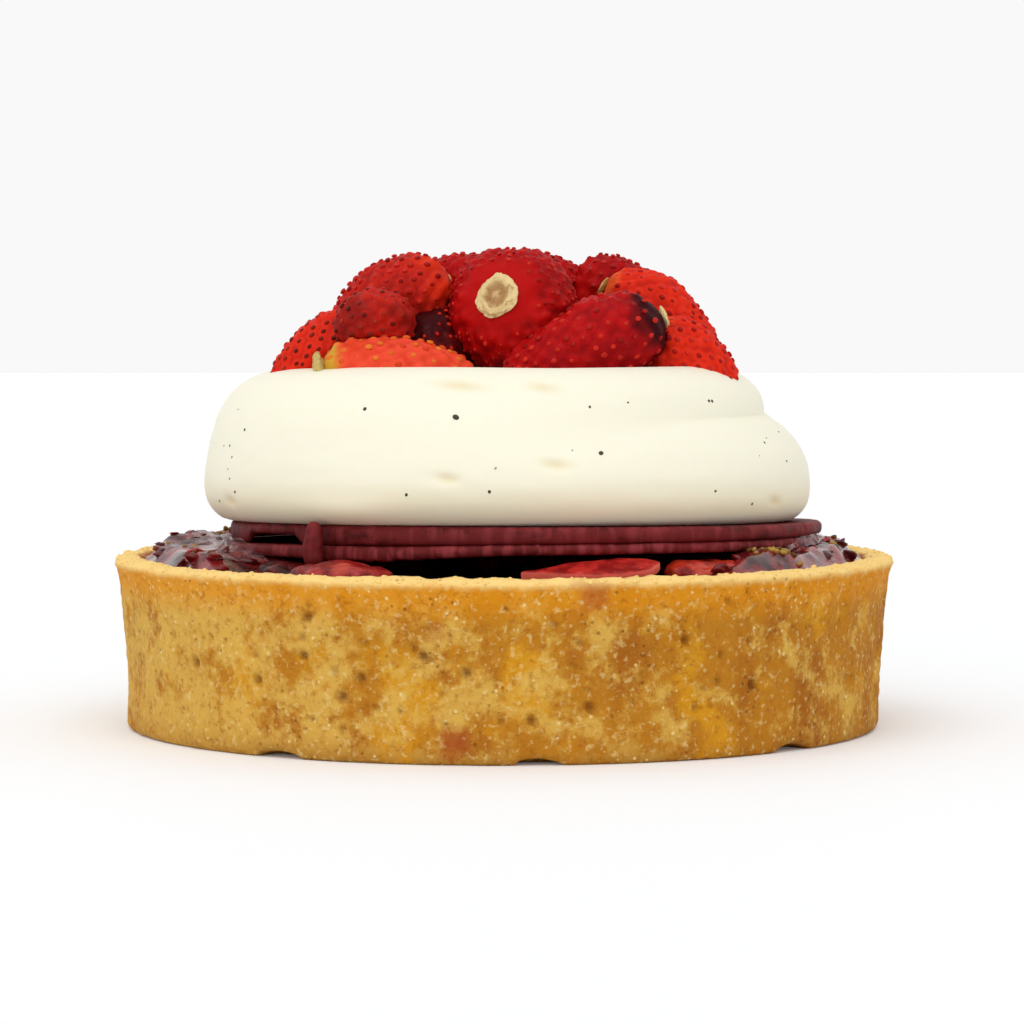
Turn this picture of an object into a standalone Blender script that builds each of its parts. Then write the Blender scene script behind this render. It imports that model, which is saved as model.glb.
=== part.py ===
"""Strawberry tart: a straight-sided shortcrust case filled with strawberry compote, two thin fruit
discs, a piped ring of vanilla cream and a heap of small strawberries.

Run it with: blender --background --python part.py
Metres, +Z up. The origin is the centre of the case's underside. -Y is the front, where the end of the
piped strand lies over the turn below it, on the right.
"""

import math

import bmesh
import bpy
from mathutils import Matrix, Vector, noise

MM = 0.001
GAP = 0.3 * MM  # kept between pieces that touch

# Case: baked in a 90 mm ring, 20 mm high, a little proud of it, and flared at its rim.
CASE_HEIGHT = 20.5 * MM
CASE_BASE_RADIUS = 45.0 * MM
CASE_RIM_RADIUS = 46.5 * MM
CASE_WALL = 3.6 * MM
CASE_FLOOR = 3.6 * MM
CASE_STEPS = 44
LIP_STEPS = 4
FLARE_POWER = 2.6  # how late the wall leans out on its way up
NOTCH_AZIMUTHS = (-125, -86, -43, 20, 75, 130, 178)  # degrees; where the foot of the wall lifts
NOTCH_SIZE = Vector((6.0, 4.0, 1.2)) * MM  # across, inwards and up

# Compote: sunken at the front, heaped up under the discs elsewhere, and drawn up where it meets the wall.
COMPOTE_LEVEL = 18.4 * MM
COMPOTE_HEAP = 3.2 * MM
COMPOTE_EDGE = 19.4 * MM
COMPOTE_EDGE_DIP = 0.9 * MM  # how much lower the edge is at the front
COMPOTE_EDGE_WIDTH = 6.0 * MM
COMPOTE_HOLLOW = math.radians(-97), math.radians(48)  # middle and half width of the sunken front
COMPOTE_WALL_RADIUS = CASE_RIM_RADIUS - CASE_WALL - 0.9 * MM
COMPOTE_STEPS = 32
COMPOTE_RINGS = 5

# Discs and cream lie on the fruit, a little raised at the front.
STACK_CENTRE = Vector((2.3, 0.0, 21.7)) * MM  # middle of the lower disc's underside
STACK_TILT = math.radians(-1.7), math.radians(0.15)  # about X and Y
DISC_RADIUS = 35.4 * MM
DISC_THICKNESS = 1.2 * MM
DISC_BEVEL = 0.25 * MM
DISC_STEPS = 36
UPPER_DISC_SHIFT = 0.4 * MM
LOWER_DISC_DROP = 0.5 * MM  # the lower disc sags away from the upper one on the left
LOWER_DISC_TILT = math.radians(-0.8)
DRIP_AZIMUTH = math.radians(-130)
DRIP_SIZE = Vector((2.8, 1.6, 4.6)) * MM

# Cream: one strand piped in two turns. Each turn's section is an oval: its heart's distance from the
# ring's axis and height above the discs, and its half width and half height.
CREAM_SHIFT = -1.8 * MM  # of the ring's axis from the discs' axis, along X
LOWER_TURN = (27.0 * MM, 4.6 * MM, 9.4 * MM, 8.8 * MM)
UPPER_TURN_FUSED = (26.6 * MM, 11.9 * MM, 7.0 * MM, 5.7 * MM)
UPPER_TURN_FREE = (24.0 * MM, 13.2 * MM, 6.6 * MM, 5.3 * MM)
UPPER_TURN_START = (25.0 * MM, 8.2 * MM, 6.0 * MM, 4.6 * MM)  # where it leaves the turn below
SECTION_HEART = Vector((25.6, 8.4)) * MM  # rays from here meet the skin once each
TAIL_AZIMUTH = math.radians(12)  # where the strand ends
TAIL_LENGTH = math.radians(10)
FUSED_AZIMUTH = math.radians(-112)  # where the two turns have run into one
GROOVE_BLEND = 1.0 * MM, 7.0 * MM  # how softly the turns join: at the strand's end, and once fused
FOOT_ROUND = Vector((1.4, 3.0)) * MM  # how far the strand's foot curls in, and from what height
HOLLOW_FLOOR = 10.8 * MM
SKIN_ANGLES = math.radians(-52), math.radians(166)  # rays from the heart: to the foot, and to the hollow
UNDER_SHARE = 0.14  # of the section's run lies under the strand
OVER_SHARE = 0.78  # and past this, it lies in the hollow
CREAM_STEPS = 36
CREAM_RINGS = 16

# Heap of berries: each is named, with its middle in mm, the way its tip points, its length and width in
# mm, and its taper, from 0, round, to 1, pointed. An earlier one presses its shape into a later one.
BERRIES = (
    ("berry_front_top", (1.3, -6.8, 49.0), (0.24, 0.92, -0.27), 17.0, 15.6, 0.4),
    ("berry_front_right", (9.4, -14.0, 45.2), (-0.92, -0.1, -0.36), 20.3, 10.4, 0.6),
    ("berry_front", (-12.2, -15.8, 41.9), (1.0, 0.1, 0.0), 18.5, 9.4, 0.5),
    ("berry_left_front", (-15.2, -12.3, 48.0), (-0.6, -0.7, -0.1), 10.0, 8.2, 0.25),
    ("berry_left", (-21.2, -7.7, 43.7), (-0.78, -0.15, -0.5), 13.5, 9.6, 0.45),
    ("berry_left_top", (-13.0, -4.4, 50.8), (-0.9, -0.1, -0.35), 14.5, 9.8, 0.35),
    ("berry_right_top", (18.4, -2.6, 48.6), (0.85, -0.2, -0.5), 15.5, 9.4, 0.4),
    ("berry_right", (21.8, -9.4, 43.2), (0.75, -0.2, -0.6), 12.5, 9.4, 0.4),
    ("berry_top_left", (-5.5, 3.5, 52.2), (-0.9, 0.3, 0.05), 13.0, 9.0, 0.4),
    ("berry_top", (4.0, 8.2, 52.1), (0.95, -0.1, 0.0), 14.0, 9.4, 0.35),
    ("berry_top_right", (13.8, 5.4, 51.9), (0.9, 0.5, -0.25), 11.0, 8.8, 0.35),
    ("berry_dark", (-7.7, -7.1, 44.6), (0.3, 0.5, -0.6), 11.0, 10.0, 0.3),
    ("berry_back_left_top", (-14.2, 10.3, 47.8), (-0.5, 0.7, -0.4), 14.0, 10.0, 0.4),
    ("berry_back_top", (-1.7, 17.8, 48.5), (-0.3, 0.9, -0.4), 14.0, 10.2, 0.4),
    ("berry_back_right_top", (11.2, 15.8, 49.2), (0.6, 0.7, -0.3), 13.5, 10.2, 0.4),
    ("berry_back_left", (-20.4, 3.6, 43.6), (-0.6, 0.6, -0.4), 14.0, 10.6, 0.45),
    ("berry_back", (-9.5, 18.9, 42.1), (0.9, 0.2, -0.1), 17.0, 10.8, 0.5),
    ("berry_back_right", (7.9, 19.9, 41.6), (-0.9, 0.3, -0.2), 15.0, 10.8, 0.45),
    ("berry_far_right", (20.8, 6.8, 43.6), (0.6, 0.7, -0.3), 14.5, 10.8, 0.45),
    ("berry_inner_left", (-9.5, 4.4, 42.8), (0.5, 0.8, 0.1), 14.0, 10.4, 0.4),
    ("berry_inner_right", (11.1, 2.0, 43.0), (-0.4, 0.9, 0.1), 14.5, 10.6, 0.4),
    ("berry_heart", (-0.2, 4.7, 42.2), (0.1, 0.99, 0.0), 15.0, 11.0, 0.4),
)
BERRY_SEGMENTS = 10
BERRY_RINGS = 8
BERRY_LUMP = 0.5 * MM

# Fruit in the compote: name, azimuth in degrees, distance from the axis, length, width and top in mm.
CHUNKS = (
    ("fruit_front_left", -118, 38.0, 13.0, 5.6, 21.6),
    ("fruit_under_left", -137, 33.0, 8.5, 7.0, 21.3),
    ("fruit_far_left", -176, 38.2, 9.0, 6.4, 21.9),
    ("fruit_under_right", -52, 36.4, 10.0, 7.6, 21.4),
    ("fruit_far_right", -22, 38.6, 9.5, 6.0, 21.3),
    ("fruit_back_right", 38, 38.4, 12.0, 6.4, 21.2),
    ("fruit_back", 96, 39.2, 12.0, 5.4, 20.9),
    ("fruit_back_left", 142, 38.4, 11.0, 6.6, 21.4),
)
CHUNK_SINK = 2.6 * MM  # half of each piece's height
CHUNK_SEGMENTS = 10
CHUNK_RINGS = 7

# A thin slice of strawberry that lies against the rim at the front.
SLICE_LENGTH = 15.5 * MM
SLICE_WIDTH = 8.4 * MM
SLICE_THICKNESS = 1.7 * MM
SLICE_CENTRE = Vector((9.6, -37.2, 20.6)) * MM
SLICE_TURN = math.radians(10)
SLICE_TILT = math.radians(9)

MATERIALS = {  # base colour, roughness and metallic value
    "crust": ((0.60, 0.33, 0.10), 0.8, 0.0),
    "compote": ((0.16, 0.01, 0.015), 0.15, 0.0),
    "fruit": ((0.50, 0.03, 0.03), 0.25, 0.0),
    "fruit_disc": ((0.30, 0.06, 0.08), 0.6, 0.0),
    "cream": ((0.88, 0.86, 0.74), 0.45, 0.0),
    "berry": ((0.50, 0.015, 0.012), 0.35, 0.0),
}


def smooth_step(share):
    """0 before 0, 1 after 1, and a smooth rise between."""
    share = min(max(share, 0.0), 1.0)
    return share * share * (3 - 2 * share)


def clear_scene():
    """Remove whatever the startup file holds."""
    for thing in list(bpy.data.objects):
        bpy.data.objects.remove(thing)


def new_collection(name):
    """A collection in the scene."""
    made = bpy.data.collections.new(name)
    bpy.context.scene.collection.children.link(made)
    return made


def new_material(name, colour, roughness, metallic):
    """A Principled material of one colour."""
    made = bpy.data.materials.new(name)
    made.use_nodes = True
    shader = made.node_tree.nodes["Principled BSDF"]
    shader.inputs["Base Color"].default_value = (*colour, 1.0)
    shader.inputs["Roughness"].default_value = roughness
    shader.inputs["Metallic"].default_value = metallic
    return made


def swell(bm, amount):
    """Move every vertex out along its normal."""
    bm.normal_update()
    for vertex in bm.verts:
        vertex.co += vertex.normal * amount


def new_object(name, bm, collection, material=None):
    """An object of the bmesh, which is freed."""
    mesh = bpy.data.meshes.new(name)
    bm.normal_update()
    bm.to_mesh(mesh)
    bm.free()
    mesh.shade_smooth()
    made = bpy.data.objects.new(name, mesh)
    if material:
        mesh.materials.append(material)
    collection.objects.link(made)
    return made


def as_cutter(thing):
    """Keep a helper out of the model."""
    thing.hide_render = True
    thing.display_type = "WIRE"
    return thing


def cut_with(thing, cutters):
    """Take the cutters' shapes, a collection, out of a piece."""
    cut = thing.modifiers.new("cut_" + cutters.name, "BOOLEAN")
    cut.operation = "DIFFERENCE"
    cut.operand_type = "COLLECTION"
    cut.collection = cutters
    cut.solver = "EXACT"


def turned(name, profile, steps, collection, material):
    """Spin a profile of (radius, height) points, listed down its outer side, about the Z axis."""
    bm = bmesh.new()
    points = [bm.verts.new((radius, 0.0, height)) for radius, height in profile]
    for start, end in zip(points, points[1:]):
        bm.edges.new((start, end))
    made = new_object(name, bm, collection, material)
    screw = made.modifiers.new("turn", "SCREW")
    screw.steps = screw.render_steps = steps
    screw.use_merge_vertices = True
    screw.merge_threshold = 0.00001
    return made


def wall_radius(height):
    """Outer radius of the case at a height."""
    share = max(height, 0.0) / CASE_HEIGHT
    return CASE_BASE_RADIUS + (CASE_RIM_RADIUS - CASE_BASE_RADIUS) * share**FLARE_POWER


def lip_points(edge):
    """The rounded rim: half an ellipse over the wall's thickness, from its inner side to its outer."""
    middle = CASE_RIM_RADIUS - CASE_WALL / 2
    for step in range(LIP_STEPS + 1):
        angle = math.pi * step / LIP_STEPS
        out = math.copysign(abs(math.cos(angle)) ** 0.5, -math.cos(angle))
        yield middle + CASE_WALL / 2 * out, CASE_HEIGHT - edge * (1 - math.sin(angle) ** 0.5)


def case_profile():
    """From the middle of the floor's top, up the inside, over the rim and down to the underside."""
    edge = 1.0 * MM
    inside = [(0.0, CASE_FLOOR), (CASE_BASE_RADIUS - CASE_WALL, CASE_FLOOR)]
    heights = [CASE_HEIGHT * share for share in (0.82, 0.55, 0.25)]
    outside = [(wall_radius(height), height) for height in heights]
    foot = [(CASE_BASE_RADIUS, edge), (CASE_BASE_RADIUS - edge, 0.0), (0.0, 0.0)]
    return inside + list(lip_points(edge)) + outside + foot


def make_case(parts, cutters, material):
    """The pastry case, with the small arches where its foot lifts off the plate."""
    case = turned("crust", case_profile(), CASE_STEPS, parts, material)
    for azimuth in NOTCH_AZIMUTHS:
        bm = bmesh.new()
        bmesh.ops.create_uvsphere(bm, u_segments=8, v_segments=6, radius=1.0)
        notch = as_cutter(new_object("notch", bm, cutters))
        angle = math.radians(azimuth)
        place = Vector((math.cos(angle), math.sin(angle), 0.0)) * CASE_BASE_RADIUS
        turn = Matrix.Rotation(angle + math.pi / 2, 4, "Z")
        half = Vector((NOTCH_SIZE.x / 2, NOTCH_SIZE.y / 2, NOTCH_SIZE.z))
        notch.matrix_world = Matrix.Translation(place) @ turn @ Matrix.Diagonal((*half, 1.0))
    cut_with(case, cutters)
    return case


def disc_underside(x, y):
    """Height of the lower disc's underside over a point."""
    across = (x - STACK_CENTRE.x) * math.tan(STACK_TILT[1] + LOWER_DISC_TILT)
    return STACK_CENTRE.z - LOWER_DISC_DROP + y * math.tan(STACK_TILT[0]) - across


def compote_height(x, y):
    """Height of the compote's surface over a point."""
    radius = math.hypot(x, y)
    off_hollow = abs(math.remainder(math.atan2(y, x) - COMPOTE_HOLLOW[0], 2 * math.pi))
    heaped = smooth_step((off_hollow / COMPOTE_HOLLOW[1] - 0.6) * 1.6)
    at_wall = smooth_step((radius - COMPOTE_WALL_RADIUS) / COMPOTE_EDGE_WIDTH + 1)
    inside = COMPOTE_LEVEL + COMPOTE_HEAP * heaped
    edge = COMPOTE_EDGE - COMPOTE_EDGE_DIP * (1 - heaped)
    height = inside + (edge - inside) * at_wall
    return min(height, disc_underside(x, y) - GAP)


def make_compote(parts, beds, material):
    """The compote, solid down to the case's floor."""
    foot = CASE_BASE_RADIUS - CASE_WALL - GAP
    bm = bmesh.new()
    radii = [COMPOTE_WALL_RADIUS * share / COMPOTE_RINGS for share in range(COMPOTE_RINGS + 1)]
    profile = [(radius, COMPOTE_LEVEL) for radius in radii]
    profile += [(foot, CASE_FLOOR + GAP), (0.0, CASE_FLOOR + GAP)]
    points = [bm.verts.new((radius, 0.0, height)) for radius, height in profile]
    line = [bm.edges.new(pair) for pair in zip(points, points[1:])]
    bmesh.ops.spin(
        bm,
        geom=points + line,
        cent=(0, 0, 0),
        axis=(0, 0, 1),
        angle=2 * math.pi,
        steps=COMPOTE_STEPS,
        use_merge=True,
    )
    bmesh.ops.remove_doubles(bm, verts=bm.verts[:], dist=0.00001)
    bmesh.ops.recalc_face_normals(bm, faces=bm.faces[:])
    for vertex in bm.verts:
        if vertex.co.z > COMPOTE_LEVEL - GAP:
            vertex.co.z = compote_height(vertex.co.x, vertex.co.y)
    compote = new_object("compote", bm, parts, material)
    cut_with(compote, beds)


def roughened(bm, amount, grain, seed):
    """Push each vertex along its normal by smooth noise, so that no two pieces are alike."""
    bm.normal_update()
    for vertex in bm.verts:
        level = noise.noise(vertex.co / grain + Vector((seed, 2.0 * seed, 3.0 * seed)))
        vertex.co += vertex.normal * amount * level


def chunk_mesh(number, length, width, height, extra=0.0):
    """A lump of stewed fruit about its own middle. Extra is added all round, for a cutter."""
    bm = bmesh.new()
    bmesh.ops.create_uvsphere(bm, u_segments=CHUNK_SEGMENTS, v_segments=CHUNK_RINGS, radius=1.0)
    for vertex in bm.verts:
        vertex.co = Vector((length / 2 * vertex.co.x, width / 2 * vertex.co.y, height / 2 * vertex.co.z))
    roughened(bm, 0.9 * MM, 3.5 * MM, number)
    if extra:
        swell(bm, extra)
    return bm


def make_chunks(parts, beds, stack_space, material):
    """The pieces of fruit, sunk in the compote, and the beds that they leave in it."""
    for number, (name, azimuth, radius, length, width, top) in enumerate(CHUNKS):
        angle = math.radians(azimuth)
        height = 2 * CHUNK_SINK
        place = Vector((radius * MM * math.cos(angle), radius * MM * math.sin(angle), top * MM - height / 2))
        size = (length * MM, width * MM, height)
        chunk = new_object(name, chunk_mesh(number, *size), parts, material)
        bed = as_cutter(new_object("bed_" + name, chunk_mesh(number, *size, extra=GAP), beds))
        for thing in (chunk, bed):
            thing.location = place
            thing.rotation_euler.z = angle + math.pi / 2
        cut_with(chunk, stack_space)


def make_slice(parts, material):
    """A thin slice of berry: a rounded wedge in outline, narrow to the left."""
    outline = bpy.data.curves.new("fruit_slice", "CURVE")
    outline.dimensions = "2D"
    outline.fill_mode = "BOTH"
    outline.extrude = SLICE_THICKNESS / 2
    steps = 22
    spline = outline.splines.new("POLY")
    spline.points.add(steps - 1)
    for step, point in enumerate(spline.points):
        angle = 2 * math.pi * step / steps
        along = math.cos(angle)
        across = math.sin(angle) * (0.62 + 0.38 * along)
        point.co = (SLICE_LENGTH / 2 * along, SLICE_WIDTH / 2 * across, 0.0, 1.0)
    spline.use_cyclic_u = True
    outline.materials.append(material)
    made = bpy.data.objects.new("fruit_slice", outline)
    made.location = SLICE_CENTRE
    made.rotation_euler = (SLICE_TILT, 0.0, SLICE_TURN)
    parts.objects.link(made)
    return made


def make_disc(name, level, shift, tilt, parts, material, parent):
    """One thin disc of the pair, its underside at a level above the stack's own origin."""
    bm = bmesh.new()
    bmesh.ops.create_cone(
        bm,
        cap_ends=True,
        segments=DISC_STEPS,
        radius1=DISC_RADIUS,
        radius2=DISC_RADIUS,
        depth=DISC_THICKNESS,
    )
    disc = new_object(name, bm, parts, material)
    disc.parent = parent
    disc.location = (shift, 0.0, level + DISC_THICKNESS / 2)
    disc.rotation_euler.y = tilt
    bevel = disc.modifiers.new("edge", "BEVEL")
    bevel.width = DISC_BEVEL
    bevel.segments = 1
    bevel.limit_method = "ANGLE"
    return disc


def blend_of(first, second, share):
    """Two turns' measures mixed."""
    return tuple(a + (b - a) * share for a, b in zip(first, second))


def turn_reach(turn, way):
    """How far a turn's oval section reaches from the section's heart along a ray, or 0 if it is missed."""
    radius, height, half_width, half_height = turn
    start = Vector(((SECTION_HEART.x - radius) / half_width, (SECTION_HEART.y - height) / half_height))
    run = Vector((way.x / half_width, way.y / half_height))
    along = run.dot(start)
    inside = along * along - run.length_squared * (start.length_squared - 1)
    return max((math.sqrt(inside) - along) / run.length_squared, 0.0) if inside > 0 else 0.0


def soft_max(first, second, blend):
    """The larger of two lengths, rounded where they are within the blend of each other."""
    mix = max(blend - abs(first - second), 0.0) / blend
    return max(first, second) + mix * mix * blend / 4


def upper_turn(azimuth):
    """The upper turn's section at an azimuth, and how far it has fused with the lower turn, from 0 to 1."""
    to_tail = (TAIL_AZIMUTH - azimuth) % (2 * math.pi)
    ending = smooth_step(to_tail / TAIL_LENGTH)
    free = ending * (1 - smooth_step(to_tail / (TAIL_AZIMUTH - FUSED_AZIMUTH)))
    risen = min(smooth_step((2 * math.pi - to_tail) / math.pi), ending)
    turn = blend_of(UPPER_TURN_FUSED, UPPER_TURN_FREE, free)
    return blend_of(UPPER_TURN_START, turn, risen), 1 - free


def cream_point(azimuth, share):
    """Distance from the ring's axis and height above the discs of a point on the cream's section.

    The share runs from 0, in the middle of the underside, out and over the strand to 1, in the hollow.
    """
    turn, fused = upper_turn(azimuth)
    blend = GROOVE_BLEND[0] + (GROOVE_BLEND[1] - GROOVE_BLEND[0]) * max(1 - 1.8 * (1 - fused), 0.0)
    along = min(max((share - UNDER_SHARE) / (OVER_SHARE - UNDER_SHARE), 0.0), 1.0)
    angle = SKIN_ANGLES[0] + (SKIN_ANGLES[1] - SKIN_ANGLES[0]) * along
    way = Vector((math.cos(angle), math.sin(angle)))
    point = SECTION_HEART + way * soft_max(turn_reach(LOWER_TURN, way), turn_reach(turn, way), blend)
    point.y = max(point.y, 0.0)
    curl = max(1 - point.y / FOOT_ROUND.y, 0.0)
    point.x -= FOOT_ROUND.x * (1 - math.sqrt(1 - curl * curl)) if angle < 0 else 0.0
    if share < UNDER_SHARE:
        return Vector((point.x * share / UNDER_SHARE, 0.0))
    if share > OVER_SHARE:
        inward = (share - OVER_SHARE) / (1 - OVER_SHARE)
        return Vector((point.x * (1 - inward), point.y + (HOLLOW_FLOOR - point.y) * smooth_step(2 * inward)))
    return point


def make_cream(parts, seats, material, parent):
    """The piped ring: a sphere's grid laid over the strand's changing section, hollowed by the berries."""
    bm = bmesh.new()
    bmesh.ops.create_uvsphere(bm, u_segments=CREAM_STEPS, v_segments=CREAM_RINGS, radius=1.0)
    for vertex in bm.verts:
        azimuth = math.atan2(vertex.co.y, vertex.co.x)
        share = 1 - math.acos(max(min(vertex.co.z, 1.0), -1.0)) / math.pi
        pole = math.hypot(vertex.co.x, vertex.co.y) < 1e-6
        point = Vector((0.0, HOLLOW_FLOOR if vertex.co.z > 0 else 0.0)) if pole else cream_point(azimuth, share)
        vertex.co = (point.x * math.cos(azimuth), point.x * math.sin(azimuth), point.y)
    cream = new_object("cream", bm, parts, material)
    cream.parent = parent
    cream.location = (CREAM_SHIFT, 0.0, 2 * (DISC_THICKNESS + GAP))
    cut_with(cream, seats)


def berry_width_at(share, width, taper):
    """A berry's half width, from its hull at share -1 to its tip at share 1."""
    round_off = math.sqrt(max(1 - share * share, 0.0))
    return width / 2 * round_off * (1 - taper * (share + 0.35) * 0.42)


def berry_mesh(number, length, width, taper, extra=0.0):
    """A berry along +Z, its tip up, made from a sphere. Extra is added all round, for a cutter."""
    bm = bmesh.new()
    bmesh.ops.create_uvsphere(bm, u_segments=BERRY_SEGMENTS, v_segments=BERRY_RINGS, radius=1.0)
    for vertex in bm.verts:
        share = max(min(vertex.co.z, 1.0), -1.0)
        flat = Vector((vertex.co.x, vertex.co.y))
        if flat.length > 1e-6:
            flat *= berry_width_at(share, width, taper) / flat.length
        vertex.co = (flat.x, flat.y, length / 2 * share)
    roughened(bm, BERRY_LUMP, 5.0 * MM, 1.7 * number)
    if extra:
        swell(bm, extra)
    return bm


def make_berries(parts, seats, material):
    """The heap. A slightly larger copy of each berry presses into the later ones and into the cream."""
    for number, (name, centre, way, length, width, taper) in enumerate(BERRIES):
        centre = Vector(centre) * MM
        size = (length * MM, width * MM, taper)
        place = Matrix.Translation(centre) @ Vector(way).to_track_quat("Z", "Y").to_matrix().to_4x4()
        berry = new_object(name, berry_mesh(number, *size), parts, material)
        berry.matrix_world = place
        seat = as_cutter(new_object("seat_" + name, berry_mesh(number, *size, extra=GAP), seats))
        seat.matrix_world = place
        neighbours = new_collection("against_" + name)
        for other_name, other_centre, _, other_length, *_ in BERRIES[:number]:
            if (Vector(other_centre) * MM - centre).length < (other_length + length) * MM / 2 + GAP:
                neighbours.objects.link(bpy.data.objects["seat_" + other_name])
        if neighbours.objects:
            cut_with(berry, neighbours)


def make_stack_space(cutters, parent):
    """The room that the discs take, which trims the fruit under them."""
    bm = bmesh.new()
    depth = 2 * DISC_THICKNESS + 10 * GAP
    radius = DISC_RADIUS + 3 * GAP
    bmesh.ops.create_cone(
        bm,
        cap_ends=True,
        segments=DISC_STEPS,
        radius1=radius,
        radius2=radius,
        depth=depth,
    )
    space = as_cutter(new_object("stack_space", bm, cutters))
    space.parent = parent
    space.location.z = depth / 2 - GAP - LOWER_DISC_DROP
    space.rotation_euler.y = LOWER_DISC_TILT


def make_drip(parts, material, parent):
    """A drip of the discs' fruit, set hard on its way down their edge."""
    bm = bmesh.new()
    bmesh.ops.create_uvsphere(bm, u_segments=10, v_segments=8, radius=0.5)
    for vertex in bm.verts:
        vertex.co = Vector((vertex.co.x * DRIP_SIZE.x, vertex.co.y * DRIP_SIZE.y, vertex.co.z * DRIP_SIZE.z))
    drip = new_object("disc_drip", bm, parts, material)
    drip.parent = parent
    reach = DISC_RADIUS + UPPER_DISC_SHIFT + DRIP_SIZE.y / 2 + GAP
    drip.location = (reach * math.cos(DRIP_AZIMUTH), reach * math.sin(DRIP_AZIMUTH), 0.6 * MM)
    drip.rotation_euler.z = DRIP_AZIMUTH + math.pi / 2


def main():
    """Build the tart."""
    clear_scene()
    parts = new_collection("strawberry_tart")
    notches = new_collection("notches")
    beds = new_collection("beds")
    spaces = new_collection("spaces")
    seats = new_collection("seats")
    materials = {name: new_material(name, *look) for name, look in MATERIALS.items()}

    stack = bpy.data.objects.new("stack", None)
    parts.objects.link(stack)
    stack.location = STACK_CENTRE
    stack.rotation_euler = (STACK_TILT[0], STACK_TILT[1], 0.0)

    make_case(parts, notches, materials["crust"])
    make_stack_space(spaces, stack)
    make_chunks(parts, beds, spaces, materials["fruit"])
    make_compote(parts, beds, materials["compote"])
    make_slice(parts, materials["fruit"])
    make_disc("disc_lower", -LOWER_DISC_DROP, 0.0, LOWER_DISC_TILT, parts, materials["fruit_disc"], stack)
    make_disc("disc_upper", DISC_THICKNESS + GAP, UPPER_DISC_SHIFT, 0.0, parts, materials["fruit_disc"], stack)
    make_drip(parts, materials["fruit_disc"], stack)
    make_berries(parts, seats, materials["berry"])
    make_cream(parts, seats, materials["cream"], stack)


main()
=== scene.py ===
"""Looks of a strawberry tart: shortcrust, compote, fruit discs, vanilla cream and small strawberries.

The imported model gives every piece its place. This script lays the fine surfaces over it: the crumb and
pits of the pastry, the wet compote, the strand of cream, and each berry's raised seeds. Metres, +Z up,
and -Y is the front.
"""

from __future__ import annotations

import itertools
import logging
import math
from dataclasses import dataclass, field
from enum import Enum

import bpy
import numpy as np
from mathutils import Matrix, Vector
from mathutils.kdtree import KDTree

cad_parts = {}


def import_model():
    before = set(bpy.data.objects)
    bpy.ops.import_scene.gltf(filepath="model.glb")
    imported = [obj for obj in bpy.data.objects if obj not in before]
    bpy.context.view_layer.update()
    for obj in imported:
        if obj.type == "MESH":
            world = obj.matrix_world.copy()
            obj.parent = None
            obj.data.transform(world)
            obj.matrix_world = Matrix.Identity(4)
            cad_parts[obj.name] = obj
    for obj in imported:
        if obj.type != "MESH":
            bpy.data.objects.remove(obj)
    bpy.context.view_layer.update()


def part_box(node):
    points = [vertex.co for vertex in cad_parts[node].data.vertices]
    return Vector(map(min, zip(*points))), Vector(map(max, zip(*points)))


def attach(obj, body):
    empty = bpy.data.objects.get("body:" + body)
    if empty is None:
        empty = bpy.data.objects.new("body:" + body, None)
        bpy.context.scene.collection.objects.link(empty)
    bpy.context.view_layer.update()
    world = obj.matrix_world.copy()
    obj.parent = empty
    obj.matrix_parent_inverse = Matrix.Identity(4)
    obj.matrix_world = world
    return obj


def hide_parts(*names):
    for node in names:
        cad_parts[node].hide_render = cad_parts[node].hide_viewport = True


LOG = logging.getLogger("strawberry_tart")
MM = 0.001
ROOT = "root"
Colour = tuple[float, float, float, float]


# ---------------------------------------------------------------------------------------------------
# Numbers over a surface
# ---------------------------------------------------------------------------------------------------


def srgb(code: str) -> Colour:
    """Turn a display colour into the linear one that shaders use.

    Args:
        code: Six hexadecimal digits after a hash.

    Returns:
        The linear colour, opaque.
    """
    parts = [int(code[start : start + 2], 16) / 255 for start in (1, 3, 5)]
    linear = [part / 12.92 if part <= 0.04045 else ((part + 0.055) / 1.055) ** 2.4 for part in parts]
    return (*linear, 1.0)


def eased(low: float, high: float, values: np.ndarray) -> np.ndarray:
    """A smooth rise from 0 at low to 1 at high."""
    share = np.clip((np.asarray(values, float) - low) / (high - low), 0.0, 1.0)
    return share * share * (3 - 2 * share)


def lumps(points: np.ndarray, size: float, seed: int) -> np.ndarray:
    """Smooth noise whose lumps are about a size across.

    Args:
        points: Places, one row each.
        size: Width of a lump, in metres.
        seed: Picks one pattern.

    Returns:
        A level from -1 to 1 for each point.
    """
    scaled = points / size + 31.7 * seed
    cell = np.floor(scaled).astype(np.int64)
    inside = scaled - cell
    inside = inside * inside * (3 - 2 * inside)
    level = np.zeros(len(points))
    for corner in itertools.product((0, 1), repeat=3):
        key = (cell + np.array(corner)) @ np.array([374761393, 668265263, 2147483647]) + seed * 974711
        key = (key ^ (key >> 13)) * 1274126177 & 0xFFFFFFFF
        key = (key ^ (key >> 16)) & 0xFFFFFF
        share = np.where(np.array(corner) == 1, inside, 1 - inside).prod(axis=1)
        level += share * (key / 0x7FFFFF - 1)
    return level


def layered(points: np.ndarray, size: float, layers: int, seed: int) -> np.ndarray:
    """Noise with finer lumps on coarser ones, each layer half the size and half the height."""
    total = sum(lumps(points, size / 2**layer, seed + layer) / 2**layer for layer in range(layers))
    return total / (2 - 0.5 ** (layers - 1))


# ---------------------------------------------------------------------------------------------------
# Meshes
# ---------------------------------------------------------------------------------------------------


def places(piece: bpy.types.Object) -> np.ndarray:
    """Every vertex's place, one row each."""
    flat = np.empty(len(piece.data.vertices) * 3)
    piece.data.vertices.foreach_get("co", flat)
    return flat.reshape(-1, 3)


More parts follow.
